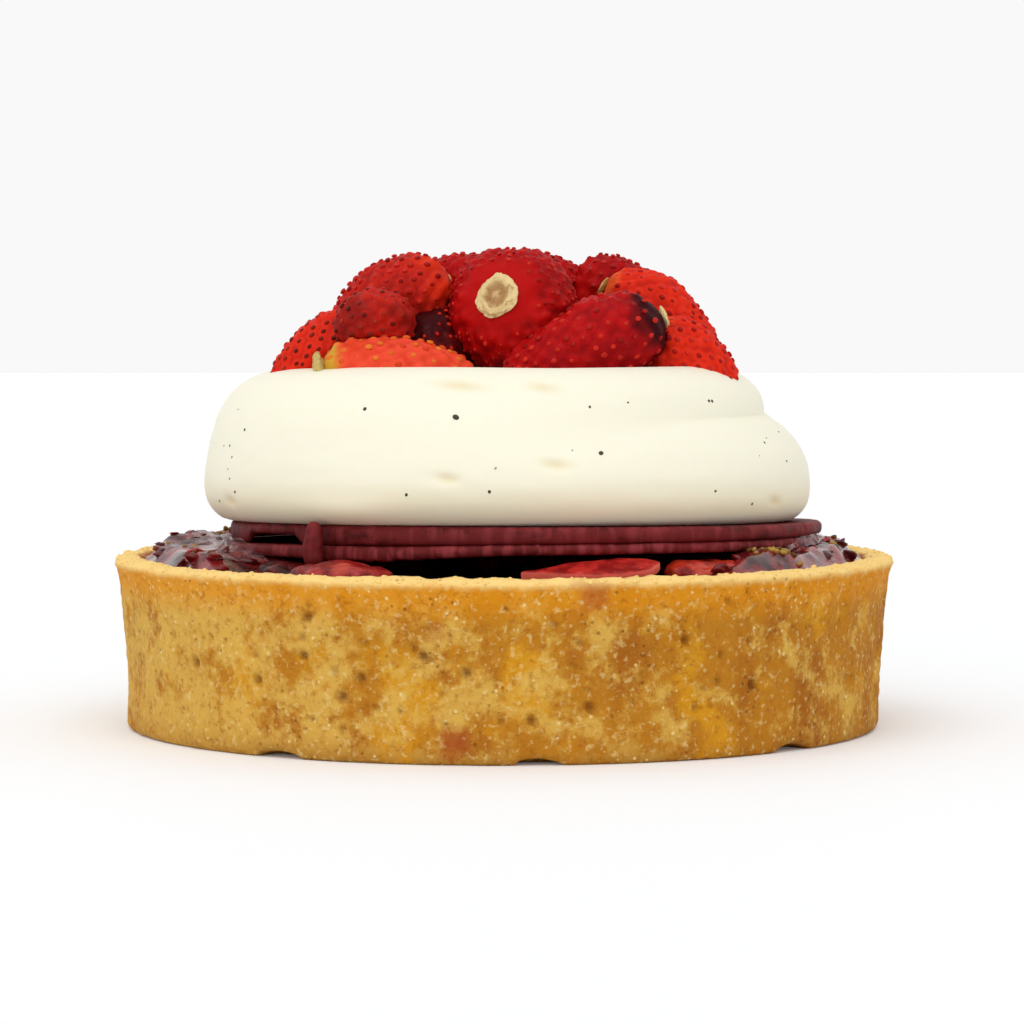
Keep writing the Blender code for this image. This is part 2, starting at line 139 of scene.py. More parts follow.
def directions(piece: bpy.types.Object) -> np.ndarray:
    """Every vertex's normal, one row each."""
    flat = np.empty(len(piece.data.vertices) * 3)
    piece.data.vertices.foreach_get("normal", flat)
    return flat.reshape(-1, 3)


def move_to(piece: bpy.types.Object, points: np.ndarray) -> None:
    """Put every vertex at a new place."""
    piece.data.vertices.foreach_set("co", np.ascontiguousarray(points, dtype=np.float32).ravel())
    piece.data.update()


def paint(piece: bpy.types.Object, name: str, levels: np.ndarray) -> None:
    """Keep a number for every vertex, which the piece's finish reads."""
    layer = piece.data.attributes.new(name, "FLOAT", "POINT")
    layer.data.foreach_set("value", np.ascontiguousarray(levels, dtype=np.float32))


def start_piece(name: str) -> bpy.types.Object:
    """Name the primitive that was just added, and shade it smooth."""
    piece = bpy.context.active_object
    piece.name = piece.data.name = name
    bpy.ops.object.shade_smooth()
    return piece


def ball(name: str, segments: int, rings: int) -> bpy.types.Object:
    """A sphere of radius 1 to be shaped, its poles on Z."""
    bpy.ops.object.select_all(action="DESELECT")
    bpy.ops.mesh.primitive_uv_sphere_add(segments=segments, ring_count=rings, radius=1.0)
    return start_piece(name)


def stacked_rings(name: str, rings: list[tuple[float, float]], segments: int) -> bpy.types.Object:
    """A closed turned body, extruded ring by ring.

    Args:
        name: The piece's name.
        rings: Radius and height of each ring. The first and the last are closed by a point.
        segments: Sides of each ring.

    Returns:
        The piece.
    """
    bpy.ops.object.select_all(action="DESELECT")
    radius, height = rings[0]
    bpy.ops.mesh.primitive_circle_add(
        vertices=segments, radius=radius, location=(0, 0, height), fill_type="TRIFAN"
    )
    piece = start_piece(name)
    piece.data.transform(Matrix.Translation(piece.location))
    piece.location = (0, 0, 0)
    bpy.ops.object.mode_set(mode="EDIT")
    bpy.ops.mesh.select_all(action="SELECT")
    bpy.ops.mesh.region_to_loop()
    for radius_next, height_next in rings[1:]:
        bpy.ops.mesh.extrude_edges_move(TRANSFORM_OT_translate={"value": (0, 0, height_next - height)})
        scale = radius_next / radius
        bpy.ops.transform.resize(value=(scale, scale, 1), center_override=(0, 0, 0))
        radius, height = radius_next, height_next
    bpy.ops.mesh.edge_face_add()
    bpy.ops.mesh.poke()
    bpy.ops.mesh.select_all(action="SELECT")
    bpy.ops.mesh.normals_make_consistent(inside=False)
    bpy.ops.object.mode_set(mode="OBJECT")
    return piece


def scattered(
    name: str, seed_shape: bpy.types.Object, frames: np.ndarray, **levels: np.ndarray
) -> bpy.types.Object:
    """One piece made of many copies of a small shape, which is then removed.

    Args:
        name: The piece's name.
        seed_shape: The shape, about its own origin.
        frames: A 4 by 4 matrix for each copy.
        levels: A number for each copy, painted on its vertices under the keyword's name.

    Returns:
        The piece.
    """
    shape = places(seed_shape)
    faces = [tuple(face.vertices) for face in seed_shape.data.polygons]
    count = len(shape)
    points = np.einsum("nij,kj->nki", frames[:, :3, :3], shape) + frames[:, None, :3, 3]
    mesh = bpy.data.meshes.new(name)
    starts = range(0, len(frames) * count, count)
    copies = [tuple(corner + start for corner in face) for start in starts for face in faces]
    mesh.from_pydata(points.reshape(-1, 3), [], copies)
    mesh.shade_smooth()
    piece = bpy.data.objects.new(name, mesh)
    bpy.context.scene.collection.objects.link(piece)
    for key, values in levels.items():
        paint(piece, key, np.repeat(values, count))
    bpy.data.objects.remove(seed_shape)
    return piece


def nearest(cloud: np.ndarray, probes: np.ndarray) -> tuple[np.ndarray, np.ndarray]:
    """Which point of a cloud is nearest to each probe, and how far off it is."""
    tree = KDTree(len(cloud))
    for index, place in enumerate(cloud):
        tree.insert(place, index)
    tree.balance()
    found = [tree.find(probe) for probe in probes]
    return np.array([item[1] for item in found]), np.array([item[2] for item in found])


def arc_from(azimuth: np.ndarray, degrees: float) -> np.ndarray:
    """Angle from a direction given in degrees, between -pi and pi."""
    return (azimuth - math.radians(degrees) + math.pi) % (2 * math.pi) - math.pi


def polar(azimuth: np.ndarray, radius: np.ndarray, height: np.ndarray) -> np.ndarray:
    """Points at a direction, a distance from the Z axis and a height."""
    return np.column_stack((radius * np.cos(azimuth), radius * np.sin(azimuth), height))


def standing(points: np.ndarray, ups: np.ndarray, alongs: np.ndarray, sizes: np.ndarray) -> np.ndarray:
    """Frames for small shapes that stand on a surface.

    Args:
        points: Where each one stands.
        ups: The surface's normal there.
        alongs: Roughly where each one's X axis points.
        sizes: Each one's scale along its own X, Y and Z.

    Returns:
        A 4 by 4 matrix for each shape.
    """
    ups = ups / np.linalg.norm(ups, axis=1, keepdims=True)
    sides = np.cross(ups, alongs)
    sides /= np.maximum(np.linalg.norm(sides, axis=1, keepdims=True), 1e-9)
    fronts = np.cross(sides, ups)
    frames = np.tile(np.eye(4), (len(points), 1, 1))
    frames[:, :3, 0] = fronts * sizes[:, :1]
    frames[:, :3, 1] = sides * sizes[:, 1:2]
    frames[:, :3, 2] = ups * sizes[:, 2:]
    frames[:, :3, 3] = points
    return frames


# ---------------------------------------------------------------------------------------------------
# Shader nodes
# ---------------------------------------------------------------------------------------------------


@dataclass
class Signal:
    """A number that varies over a surface, with Python's arithmetic."""

    recipe: "Recipe"
    socket: bpy.types.NodeSocket

    def _with(self, operation: str, first: "Signal | float", second: "Signal | float") -> "Signal":
        """A Math node on two numbers."""
        made = self.recipe.node("ShaderNodeMath", {"operation": operation}, {0: first, 1: second})
        return Signal(self.recipe, made.outputs[0])

    def __add__(self, other: "Signal | float") -> "Signal":
        """This signal plus another, or plus a number."""
        return self._with("ADD", self, other)

    def __radd__(self, other: float) -> "Signal":
        """A number plus this signal."""
        return self._with("ADD", other, self)

    def __sub__(self, other: "Signal | float") -> "Signal":
        """This signal less another, or less a number."""
        return self._with("SUBTRACT", self, other)

    def __rsub__(self, other: float) -> "Signal":
        """A number less this signal."""
        return self._with("SUBTRACT", other, self)

    def __mul__(self, other: "Signal | float") -> "Signal":
        """This signal times another, or times a number."""
        return self._with("MULTIPLY", self, other)

    def __rmul__(self, other: float) -> "Signal":
        """A number times this signal."""
        return self._with("MULTIPLY", other, self)

    def rise(self, low: float, high: float) -> "Signal":
        """0 below low, 1 above high, and smooth between. A low above high turns it round."""
        settings = {"interpolation_type": "SMOOTHSTEP"}
        sockets = {"Value": self, "From Min": low, "From Max": high}
        made = self.recipe.node("ShaderNodeMapRange", settings, sockets)
        return Signal(self.recipe, made.outputs[0])


class Recipe:
    """The nodes of one material, which ends in a Principled shader."""

    def __init__(self, name: str) -> None:
        """Start a material of that name."""
        self.material = bpy.data.materials.new(name)
        self.material.use_nodes = True
        self.tree = self.material.node_tree
        self.shader = self.tree.nodes["Principled BSDF"]
        self.where = self.node("ShaderNodeTexCoord").outputs["Object"]

    def node(self, kind: str, settings: dict | None = None, values: dict | None = None) -> bpy.types.Node:
        """Add a node.

        Args:
            kind: Its type.
            settings: Its own settings, such as an operation.
            values: What its sockets take: a number, a colour, a Signal or another node's socket.

        Returns:
            The node.
        """
        made = self.tree.nodes.new(kind)
        for key, value in (settings or {}).items():
            setattr(made, key, value)
        for key, value in (values or {}).items():
            self.feed(made.inputs[key], value)
        return made

    def feed(self, socket: bpy.types.NodeSocket, value: object) -> None:
        """Link a Signal or a socket to an input, or set the input's own value."""
        if isinstance(value, Signal):
            value = value.socket
        if isinstance(value, bpy.types.NodeSocket):
            self.tree.links.new(value, socket)
        else:
            socket.default_value = value

    def painted(self, name: str) -> Signal:
        """The number painted on the mesh under a name."""
        made = self.node("ShaderNodeAttribute", {"attribute_name": name})
        return Signal(self, made.outputs["Fac"])

    def along(self, axis: str) -> Signal:
        """Object coordinate X, Y or Z, in metres."""
        made = self.node("ShaderNodeSeparateXYZ", None, {0: self.where})
        return Signal(self, made.outputs[axis])

    def shifted(self, shift: float, stretch: Vector | None = None) -> bpy.types.NodeSocket:
        """Object coordinates, moved and drawn out."""
        scale = Vector(1 / part for part in stretch or Vector((1, 1, 1)))
        values = {"Vector": self.where, "Scale": scale, "Location": (shift, shift, shift)}
        return self.node("ShaderNodeMapping", None, values).outputs[0]

    def noise(
        self,
        size: float,
        detail: float = 2.0,
        stretch: Vector | None = None,
        shift: float = 0.0,
        roughness: float = 0.5,
    ) -> Signal:
        """Noise from 0 to 1.

        Args:
            size: Width of its coarsest lumps, in metres.
            detail: How many finer layers it has.
            stretch: How much longer its lumps are along each axis.
            shift: Moves the pattern, so that two of one size differ.
            roughness: How strong each finer layer is beside the coarser one.
        """
        values = {"Vector": self.shifted(shift, stretch), "Scale": 0.6 / size, "Detail": detail}
        values["Roughness"] = roughness
        return Signal(self, self.node("ShaderNodeTexNoise", None, values).outputs[0])

    def cells(self, size: float, shift: float = 0.0) -> Signal:
        """Distance from the nearest of many scattered points, 0 at each and about 1 between them."""
        values = {"Vector": self.shifted(shift), "Scale": 1 / size}
        return Signal(self, self.node("ShaderNodeTexVoronoi", None, values).outputs["Distance"])

    def blend(self, under: object, over: object, amount: Signal | float) -> bpy.types.NodeSocket:
        """One colour over another by an amount from 0 to 1."""
        made = self.node("ShaderNodeMix", {"data_type": "RGBA"}, {0: amount, 6: under, 7: over})
        return made.outputs[2]

    def relief(self, height: Signal, depth: float) -> bpy.types.NodeSocket:
        """A normal bumped by a height from 0 to 1 that stands for a depth in metres."""
        made = self.node("ShaderNodeBump", None, {"Height": height, "Distance": depth, "Strength": 1.0})
        return made.outputs[0]

    def finish(self, **values: object) -> bpy.types.Material:
        """Set the shader's inputs, named with underscores for spaces, and give the material."""
        for key, value in values.items():
            self.feed(self.shader.inputs[key.replace("_", " ")], value)
        return self.material


def dress(
    piece: bpy.types.Object, material: bpy.types.Material, slot: str, *nodes: str
) -> bpy.types.Object:
    """Give a piece its finish and its body, log the slot it is meant for, and hide the nodes that it stands
    for.
    """
    piece.data.materials.clear()
    piece.data.materials.append(material)
    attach(piece, ROOT)
    if nodes:
        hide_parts(*nodes)
    LOG.info("%s: %d faces, slot %s", piece.name, len(piece.data.polygons), slot)
    return piece


# ---------------------------------------------------------------------------------------------------
# Finishes
# ---------------------------------------------------------------------------------------------------


@dataclass(frozen=True)
class ShortcrustFinish:
    """Baked shortcrust: golden brown, mottled with straw and brown, pale at the rim, with fine grain and
    painted shade in its pits and pores.
    """

    golden: str = "#B97A1C"
    straw: str = "#D9AE50"
    butter: str = "#DE9E18"
    brown: str = "#965014"
    dusk: str = "#A0661A"
    band: str = "#DE8E10"
    rim: str = "#FBD98A"
    pit_shade: str = "#74400F"
    fleck: str = "#EBD08C"
    jam: str = "#A03A24"

    def make(self, rim_height: float) -> bpy.types.Material:
        """The material, for a case whose rim is at a height in metres."""
        mix = Recipe("shortcrust")
        height = mix.along("Z")
        leftness = mix.along("X").rise(0.012, -0.046)
        patch = mix.noise(2.6 * MM, 5.0, shift=0.3, roughness=0.68)
        broad = mix.noise(11 * MM, 3.0, shift=0.2)
        tall = mix.noise(3.4 * MM, 4.0, Vector((1, 1, 2.4)), shift=0.7, roughness=0.62)
        grain = mix.noise(0.55 * MM, 3.0, shift=0.1, roughness=0.7)
        colour = mix.blend(srgb(self.golden), srgb(self.brown), tall.rise(0.46, 0.68) * 0.6)
        butter = mix.noise(5 * MM, 4.0, shift=0.5).rise(0.54, 0.66)
        colour = mix.blend(colour, srgb(self.butter), butter * 0.6)
        straw = (patch + leftness * 0.13 + broad * 0.22).rise(0.58, 0.76)
        colour = mix.blend(colour, srgb(self.straw), straw * 0.85)
        low_band = height.rise(3.5 * MM, 0.2 * MM)
        colour = mix.blend(colour, srgb(self.dusk), low_band * patch.rise(0.35, 0.6) * 0.6)
        in_band = (height + tall * (1.6 * MM)).rise(rim_height - 5.2 * MM, rim_height - 1.0 * MM)
        colour = mix.blend(colour, srgb(self.band), in_band * 0.8)
        colour = mix.blend(colour, srgb(self.brown), grain.rise(0.5, 0.72) * 0.5)
        light_grain = mix.noise(0.42 * MM, 2.0, shift=0.6)
        colour = mix.blend(colour, srgb(self.fleck), light_grain.rise(0.56, 0.72) * 0.42)
        uneven = height + patch * (1.3 * MM) + grain * (0.7 * MM)
        at_rim = uneven.rise(rim_height - 0.5 * MM, rim_height + 0.7 * MM)
        colour = mix.blend(colour, srgb(self.rim), at_rim * 0.9)
        flecks = mix.cells(1.5 * MM).rise(0.16, 0.1) * patch.rise(0.45, 0.55)
        colour = mix.blend(colour, srgb(self.fleck), flecks * 0.8)
        # Painted shade: the pores and the sculpted pits are darkened with a dark brown.
        pores = mix.cells(1.1 * MM, 2.0).rise(0.2, 0.1) * tall.rise(0.45, 0.6)
        colour = mix.blend(colour, srgb(self.pit_shade), pores * 0.5)
        colour = mix.blend(colour, srgb(self.pit_shade), mix.painted("pit_shade") * 0.75)
        colour = mix.blend(colour, srgb(self.jam), mix.painted("jam"))
        bump = grain * 0.55 + light_grain * 0.3 + patch * 0.5 - pores * 0.4
        return mix.finish(
            Base_Color=colour,
            Roughness=0.66 + grain * 0.2,
            Normal=mix.relief(bump, 0.28 * MM),
            Specular_IOR_Level=0.12,
        )


@dataclass(frozen=True)
class CreamFinish:
    """Vanilla cream: ivory and smooth, with a little yellow painted in its folds and underneath as shade and
    light bounced from the crust.
    """

    ivory: str = "#F7F3DE"
    fold_shade: str = "#DCC274"

    def make(self) -> bpy.types.Material:
        """The material."""
        mix = Recipe("vanilla_cream")
        soft = mix.noise(6 * MM, 2.0)
        # Painted shade: the yellow fold colour stands for shade and bounced light in the crease, the dents
        # and the foot.
        colour = mix.blend(srgb(self.ivory), srgb(self.fold_shade), mix.painted("fold_shade") * (0.7 + soft * 0.3))
        streak = mix.noise(2.2 * MM, 2.0, Vector((3, 3, 1)))
        return mix.finish(
            Base_Color=colour,
            Roughness=0.46 + soft * 0.16,
            Normal=mix.relief(streak, 0.04 * MM),
            Specular_IOR_Level=0.2,
            Subsurface_Weight=0.15,
            Subsurface_Scale=1.5 * MM,
        )


@dataclass(frozen=True)
class BerryFinish:
    """A small strawberry's skin, with painted shade between its seeds, and changing towards its hull."""

    name: str
    skin: str
    hollow: str
    hull: str
    dull: str

    def make(self) -> bpy.types.Material:
        """The material."""
        mix = Recipe(self.name)
        mound = mix.painted("mound")
        patch = mix.noise(4 * MM, 3.0)
        fine = mix.noise(0.9 * MM, 3.0, roughness=0.65)
        # Painted shade: the hollow colour darkens the low skin between the seed mounds.
        colour = mix.blend(srgb(self.hollow), srgb(self.skin), (mound * 0.7 + fine * 0.6).rise(0.12, 0.85))
        colour = mix.blend(colour, srgb(self.dull), patch.rise(0.48, 0.68) * 0.75)
        colour = mix.blend(colour, srgb(self.hull), (mix.painted("hull") * (0.5 + fine)).rise(0.1, 0.9))
        return mix.finish(
            Base_Color=colour,
            Roughness=0.42 + patch * 0.25,
            Normal=mix.relief(fine, 0.14 * MM),
            Specular_IOR_Level=0.07,
            Subsurface_Weight=0.1,
            Subsurface_Scale=1.2 * MM,
            Coat_Weight=fine.rise(0.56, 0.74) * 0.12,
            Coat_Roughness=0.18,
        )


@dataclass(frozen=True)
class BeadFinish:
    """Seeds or specks: two colours, mixed from piece to piece by the painted tint."""

    name: str
    dark: str
    light: str
    roughness: float = 0.4
    gloss: float = 0.12

    def make(self) -> bpy.types.Material:
        """The material."""
        mix = Recipe(self.name)
        colour = mix.blend(srgb(self.dark), srgb(self.light), mix.painted("tint"))
        return mix.finish(
            Base_Color=colour,
            Roughness=self.roughness + mix.noise(0.5 * MM) * 0.15,
            Specular_IOR_Level=self.gloss,
        )


@dataclass(frozen=True)
class HullFinish:
    """The dry scar where a berry was picked: tan, with brown in its folds and some green."""

    tan: str = "#E6CC94"
    brown: str = "#8E5526"
    green: str = "#B39A2E"

    def make(self) -> bpy.types.Material:
        """The material."""
        mix = Recipe("berry_hull")
        fibre = mix.noise(0.5 * MM, 3.0, roughness=0.7)
        colour = mix.blend(srgb(self.tan), srgb(self.brown), mix.painted("dip") * 0.8)
        colour = mix.blend(colour, srgb(self.brown), fibre.rise(0.5, 0.68) * 0.6)
        colour = mix.blend(colour, srgb(self.green), mix.painted("tint") * 0.7)
        relief = mix.relief(fibre, 0.3 * MM)
        return mix.finish(Base_Color=colour, Roughness=0.8, Normal=relief, Specular_IOR_Level=0.1)


@dataclass(frozen=True)
class CompoteFinish:
    """Cooked strawberry in its own jelly: dark, wet and uneven, with paler pulp where it is thick."""

    deep: str = "#36060A"
    pulp: str = "#8A1818"

    def make(self) -> bpy.types.Material:
        """The material."""
        mix = Recipe("strawberry_compote")
        patch = mix.noise(2.4 * MM, 4.0, roughness=0.65)
        pulpy = (patch + mix.painted("heaped") * 0.12).rise(0.5, 0.72)
        colour = mix.blend(srgb(self.deep), srgb(self.pulp), pulpy)
        return mix.finish(
            Base_Color=colour,
            Roughness=0.12 + patch * 0.3,
            Normal=mix.relief(mix.noise(0.9 * MM, 3.0), 0.2 * MM),
            Specular_IOR_Level=0.4,
            Coat_Weight=mix.noise(3 * MM, 2.0, shift=0.4).rise(0.42, 0.6) * 0.6,
            Coat_Roughness=0.05,
        )


@dataclass(frozen=True)
class JellyFinish:
    """Clear set jelly drawn out between the discs and the rim: a thin wet skin, a little red, whose pale
    tint shows in streaks as a painted whitish sheen.
    """

    tint: str = "#C79A9C"

    def make(self) -> bpy.types.Material:
        """The material."""
        mix = Recipe("clear_jelly")
        streak = mix.noise(1.1 * MM, 3.0, Vector((1, 1, 3)))
        return mix.finish(
            Base_Color=srgb(self.tint),
            Roughness=0.14 + streak * 0.2,
            # Painted highlight: the pale tint grows opaque in streaks, standing for the film's whitish
            # sheen.
            Alpha=0.05 + streak.rise(0.42, 0.75) * 0.45,
            Specular_IOR_Level=0.6,
            Normal=mix.relief(streak, 0.2 * MM),
        )


@dataclass(frozen=True)
class StewedFinish:
    """A piece of fruit in the compote, wet, and paler where it was cut."""

    name: str
    flesh: str
    shade: str
    cut: str

    def make(self) -> bpy.types.Material:
        """The material."""
        mix = Recipe(self.name)
        patch = mix.noise(1.8 * MM, 4.0, roughness=0.65)
        colour = mix.blend(srgb(self.shade), srgb(self.flesh), patch.rise(0.38, 0.62))
        colour = mix.blend(colour, srgb(self.cut), mix.painted("cut"))
        return mix.finish(
            Base_Color=colour,
            Roughness=0.2 + patch * 0.35,
            Normal=mix.relief(mix.noise(0.8 * MM, 3.0), 0.16 * MM),
            Specular_IOR_Level=0.2,
            Coat_Weight=patch.rise(0.45, 0.65) * 0.5,
            Coat_Roughness=0.08,
        )


@dataclass(frozen=True)
class FruitDiscFinish:
    """Dried fruit paste, dusky pink on its cut edge and dark where the compote wets it."""

    dusky: str = "#6A1A1C"
    bloom: str = "#94383C"
    wet: str = "#460A0B"

    def make(self) -> bpy.types.Material:
        """The material."""
        mix = Recipe("fruit_paste")
        patch = mix.noise(4 * MM, 4.0, Vector((1, 1, 0.35)), roughness=0.6)
        ridge = mix.noise(0.7 * MM, 3.0, Vector((1, 1, 5)))
        side = mix.painted("side")
        colour = mix.blend(srgb(self.dusky), srgb(self.wet), patch.rise(0.44, 0.62) * mix.painted("wet"))
        colour = mix.blend(colour, srgb(self.bloom), side * ridge.rise(0.42, 0.68) * mix.painted("bloom"))
        return mix.finish(
            Base_Color=colour,
            Roughness=0.5 + ridge * 0.2,
            Normal=mix.relief(ridge * 0.6 + patch * 0.4, 0.2 * MM),
            Specular_IOR_Level=0.15,
        )


# ---------------------------------------------------------------------------------------------------
# The pastry case
# ---------------------------------------------------------------------------------------------------


@dataclass
class PastryCase:
    """The straight-sided shortcrust case, with its pits, folds and the small arches at its foot."""

    height: float = 20.5 * MM
    base_radius: float = 45.0 * MM
    rim_radius: float = 46.5 * MM
    wall: float = 3.6 * MM
    flare_power: float = 2.6
    segments: int = 700
    foot_round: float = 0.9 * MM
    arch_azimuths: tuple[float, ...] = (-124, -85, -43, 20, 75, 130, 178)
    arch_width: float = 5.2 * MM
    arch_height: float = 0.8 * MM
    pit_count: int = 110
    crumb_count: int = 420
    big_pits: tuple[tuple[float, float], ...] = (
        (-118, 16.0), (-119, 11.6), (-127, 8.6), (-110, 9.4), (-113, 7.2), (-101, 12.0),
        (-95, 10.2), (-64, 13.4), (-78, 6.4), (-86, 5.0), (-52, 8.0), (-140, 10.0),
    )  # azimuth in degrees and height in mm
    folds: tuple[tuple[float, ...], ...] = (
        (-14, 7, 9, 1.4), (-34, 16, 7, 1.0), (-168, 14, 10, 1.2),
        (-28, 6, 5, 0.9), (150, 9, 9, 1.2), (60, 12, 8, 1),
    )  # azimuth, height, length and width in mm
    stains: tuple[tuple[float, ...], ...] = (
        (-97, 2.6, 1.6, 0.6), (-77.5, 18.6, 2.2, 0.5), (-99, 14.5, 1.3, 0.25),
        (-80, 12.5, 1.2, 0.2), (120, 15, 1.8, 0.4),
    )  # azimuth, height and size in mm, and strength
    finish: ShortcrustFinish = field(default_factory=ShortcrustFinish)

    def rings(self) -> list[tuple[float, float]]:
        """Radius and height of every ring: under the case, up the wall, over the rim and inside."""
        under = [(radius * MM, 0.0) for radius in (1, 12, 24, 34, 39, 41.5, 42.6, 43.3)]
        foot = [
            (
                self.base_radius - self.foot_round * (1 - math.sin(turn)),
                self.foot_round * (1 - math.cos(turn)),
            )
            for turn in np.radians((12, 35, 60, 90))
        ]
        heights = np.arange(1.3 * MM, self.height - 1 * MM, 0.42 * MM)
        wall = [(self.wall_radius(height), height) for height in heights]
        middle = self.rim_radius - self.wall / 2
        lip = []
        for turn in np.radians(np.arange(8, 173, 9)):
            out = math.copysign(abs(math.cos(turn)) ** 0.7, math.cos(turn))
            lip.append((middle + self.wall / 2 * out, self.height - 0.9 * MM * (1 - math.sin(turn) ** 0.8)))
        inner = self.rim_radius - self.wall - 0.4 * MM
        inside = [(inner, height * MM) for height in (18.6, 17.6, 16)]
        return under + foot + wall + lip + inside + [(20 * MM, 15.6 * MM), (1 * MM, 15.6 * MM)]

    def wall_radius(self, height: float) -> float:
        """Outer radius of the wall at a height."""
        share = height / self.height
        return self.base_radius + (self.rim_radius - self.base_radius) * share**self.flare_power

    def sculpt(self, piece: bpy.types.Object) -> None:
        """Roughen the wall, give it pits and folds and lift its foot in places."""
        rng = np.random.default_rng(41)
        points = places(piece)
        azimuth = np.arctan2(points[:, 1], points[:, 0])
        radius = np.hypot(points[:, 0], points[:, 1])
        height = points[:, 2].copy()
        outer = eased(self.base_radius - 2.2 * MM, self.base_radius - 0.6 * MM, radius)
        top = eased(self.height - 2.5 * MM, self.height - 0.4 * MM, height)
        out = 0.2 * layered(points, 11 * MM, 2, 3) + 0.13 * lumps(points, 3 * MM, 5)
        out += 0.1 * lumps(points, 1.5 * MM, 6) + 0.08 * lumps(points, 0.8 * MM, 7)
        pits = [(turn, level * MM, 0.85 * MM, 0.6 * MM) for turn, level in self.big_pits]
        for _ in range(self.pit_count):
            spot = (rng.uniform(-180, 180), rng.uniform(2.0, 17.5) * MM)
            pits.append((*spot, rng.uniform(0.35, 0.7) * MM, rng.uniform(0.15, 0.4) * MM))
        # How deep each vertex lies in a pit, for the pits' painted shade.
        pit_shade = np.zeros(len(points))
        for turn, level, size, depth in pits:
            away = np.hypot(arc_from(azimuth, turn) * self.base_radius, height - level)
            hole = 1 - eased(0.25 * size, size, away * (1 + 0.25 * lumps(points, 0.9 * MM, 8)))
            out -= depth / MM * hole
            pit_shade = np.maximum(pit_shade, hole * min(depth / (0.5 * MM), 1))
        for turn, level, length, width in self.folds:
            arc = arc_from(azimuth, turn) * self.base_radius / MM + 1.2 * np.sin(height / (3 * MM))
            reach = 1 - eased(0.3 * length, 0.6 * length, np.abs(height / MM - level))
            out -= 0.34 * np.exp(-((arc / width) ** 2)) * reach
            out += 0.22 * np.exp(-(((arc - 1.6 * width) / width) ** 2)) * reach
        radius = radius + outer * out * MM * (height > 0.05 * MM)
        lift = np.zeros(len(points))
        for turn in self.arch_azimuths:
            half = self.arch_width / 2 * (1 + 0.2 * math.sin(turn))
            lift = np.maximum(lift, 1 - (arc_from(azimuth, turn) * self.base_radius / half) ** 2)
        near = eased(self.base_radius - 4 * MM, self.base_radius - 1.2 * MM, radius)
        lifted = self.arch_height * np.clip(lift, 0, 1) ** 0.6 * (1 + 0.3 * lumps(points, 1.5 * MM, 9))
        height += lifted * near * (1 - eased(0, 4 * MM, height))
        rough = 0.2 * lumps(points, 7 * MM, 11) + 0.2 * lumps(points, 2.2 * MM, 12)
        rough = rough + 0.16 * lumps(points, 0.9 * MM, 13)
        height += top * (rough - 0.1) * MM
        radius += top * 0.16 * lumps(points, 1.1 * MM, 14) * MM
        move_to(piece, polar(azimuth, radius, np.maximum(height, 0.0)))
        edge = self.rim_radius - self.wall
        edge = edge + (0.3 + 0.6 * lumps(points, 3 * MM, 15) + 0.5 * lumps(points, 1 * MM, 16)) * MM
        jam = 0.8 * (1 - eased(0.0, 0.8 * MM, radius - edge)) * (height > 17 * MM)
        for turn, level, size, depth in self.stains:
            spot = np.hypot(arc_from(azimuth, turn) * self.base_radius, height - level * MM)
            spot = spot * (1 + 0.5 * lumps(points, 2 * MM, 17) + 0.2 * lumps(points, 0.8 * MM, 18))
            jam = np.maximum(jam, depth * outer * (1 - eased(0.3 * size * MM, 1.3 * size * MM, spot)))
        paint(piece, "pit_shade", np.clip(pit_shade, 0, 1))
        paint(piece, "jam", np.clip(jam, 0, 1))

    def build_crumbs(self, piece: bpy.types.Object, material: bpy.types.Material) -> None:
        """Stick loose crumbs of pastry on the rim and its outer edge."""
        rng = np.random.default_rng(43)
        azimuth = rng.uniform(-math.pi, math.pi, self.crumb_count)
        radius = self.rim_radius - rng.uniform(-0.1, 1, self.crumb_count) ** 2 * self.wall * 0.85
        probes = polar(azimuth, radius, np.full(self.crumb_count, self.height))
        skin = places(piece)
        which, _ = nearest(skin, probes)
        sizes = rng.uniform(0.14, 0.42, (self.crumb_count, 3)) * np.array([1, 0.8, 0.6]) * MM
        grain = ball("grain", 8, 5)
        shape = places(grain)
        move_to(grain, shape * (1 + 0.3 * lumps(shape, 0.8, 44))[:, None])
        alongs = rng.normal(0, 1, (self.crumb_count, 3))
        frames = standing(skin[which], directions(piece)[which], alongs, sizes)
        crumbs = scattered("rim_crumbs", grain, frames)
        dress(crumbs, material, "crust")

    def build(self) -> None:
        """Make the case in place of its plain solid."""
        piece = stacked_rings("pastry_case", self.rings(), self.segments)
        self.sculpt(piece)
        material = self.finish.make(self.height)
        dress(piece, material, "crust", "crust")
        self.build_crumbs(piece, material)


# ---------------------------------------------------------------------------------------------------
# The compote
# ---------------------------------------------------------------------------------------------------


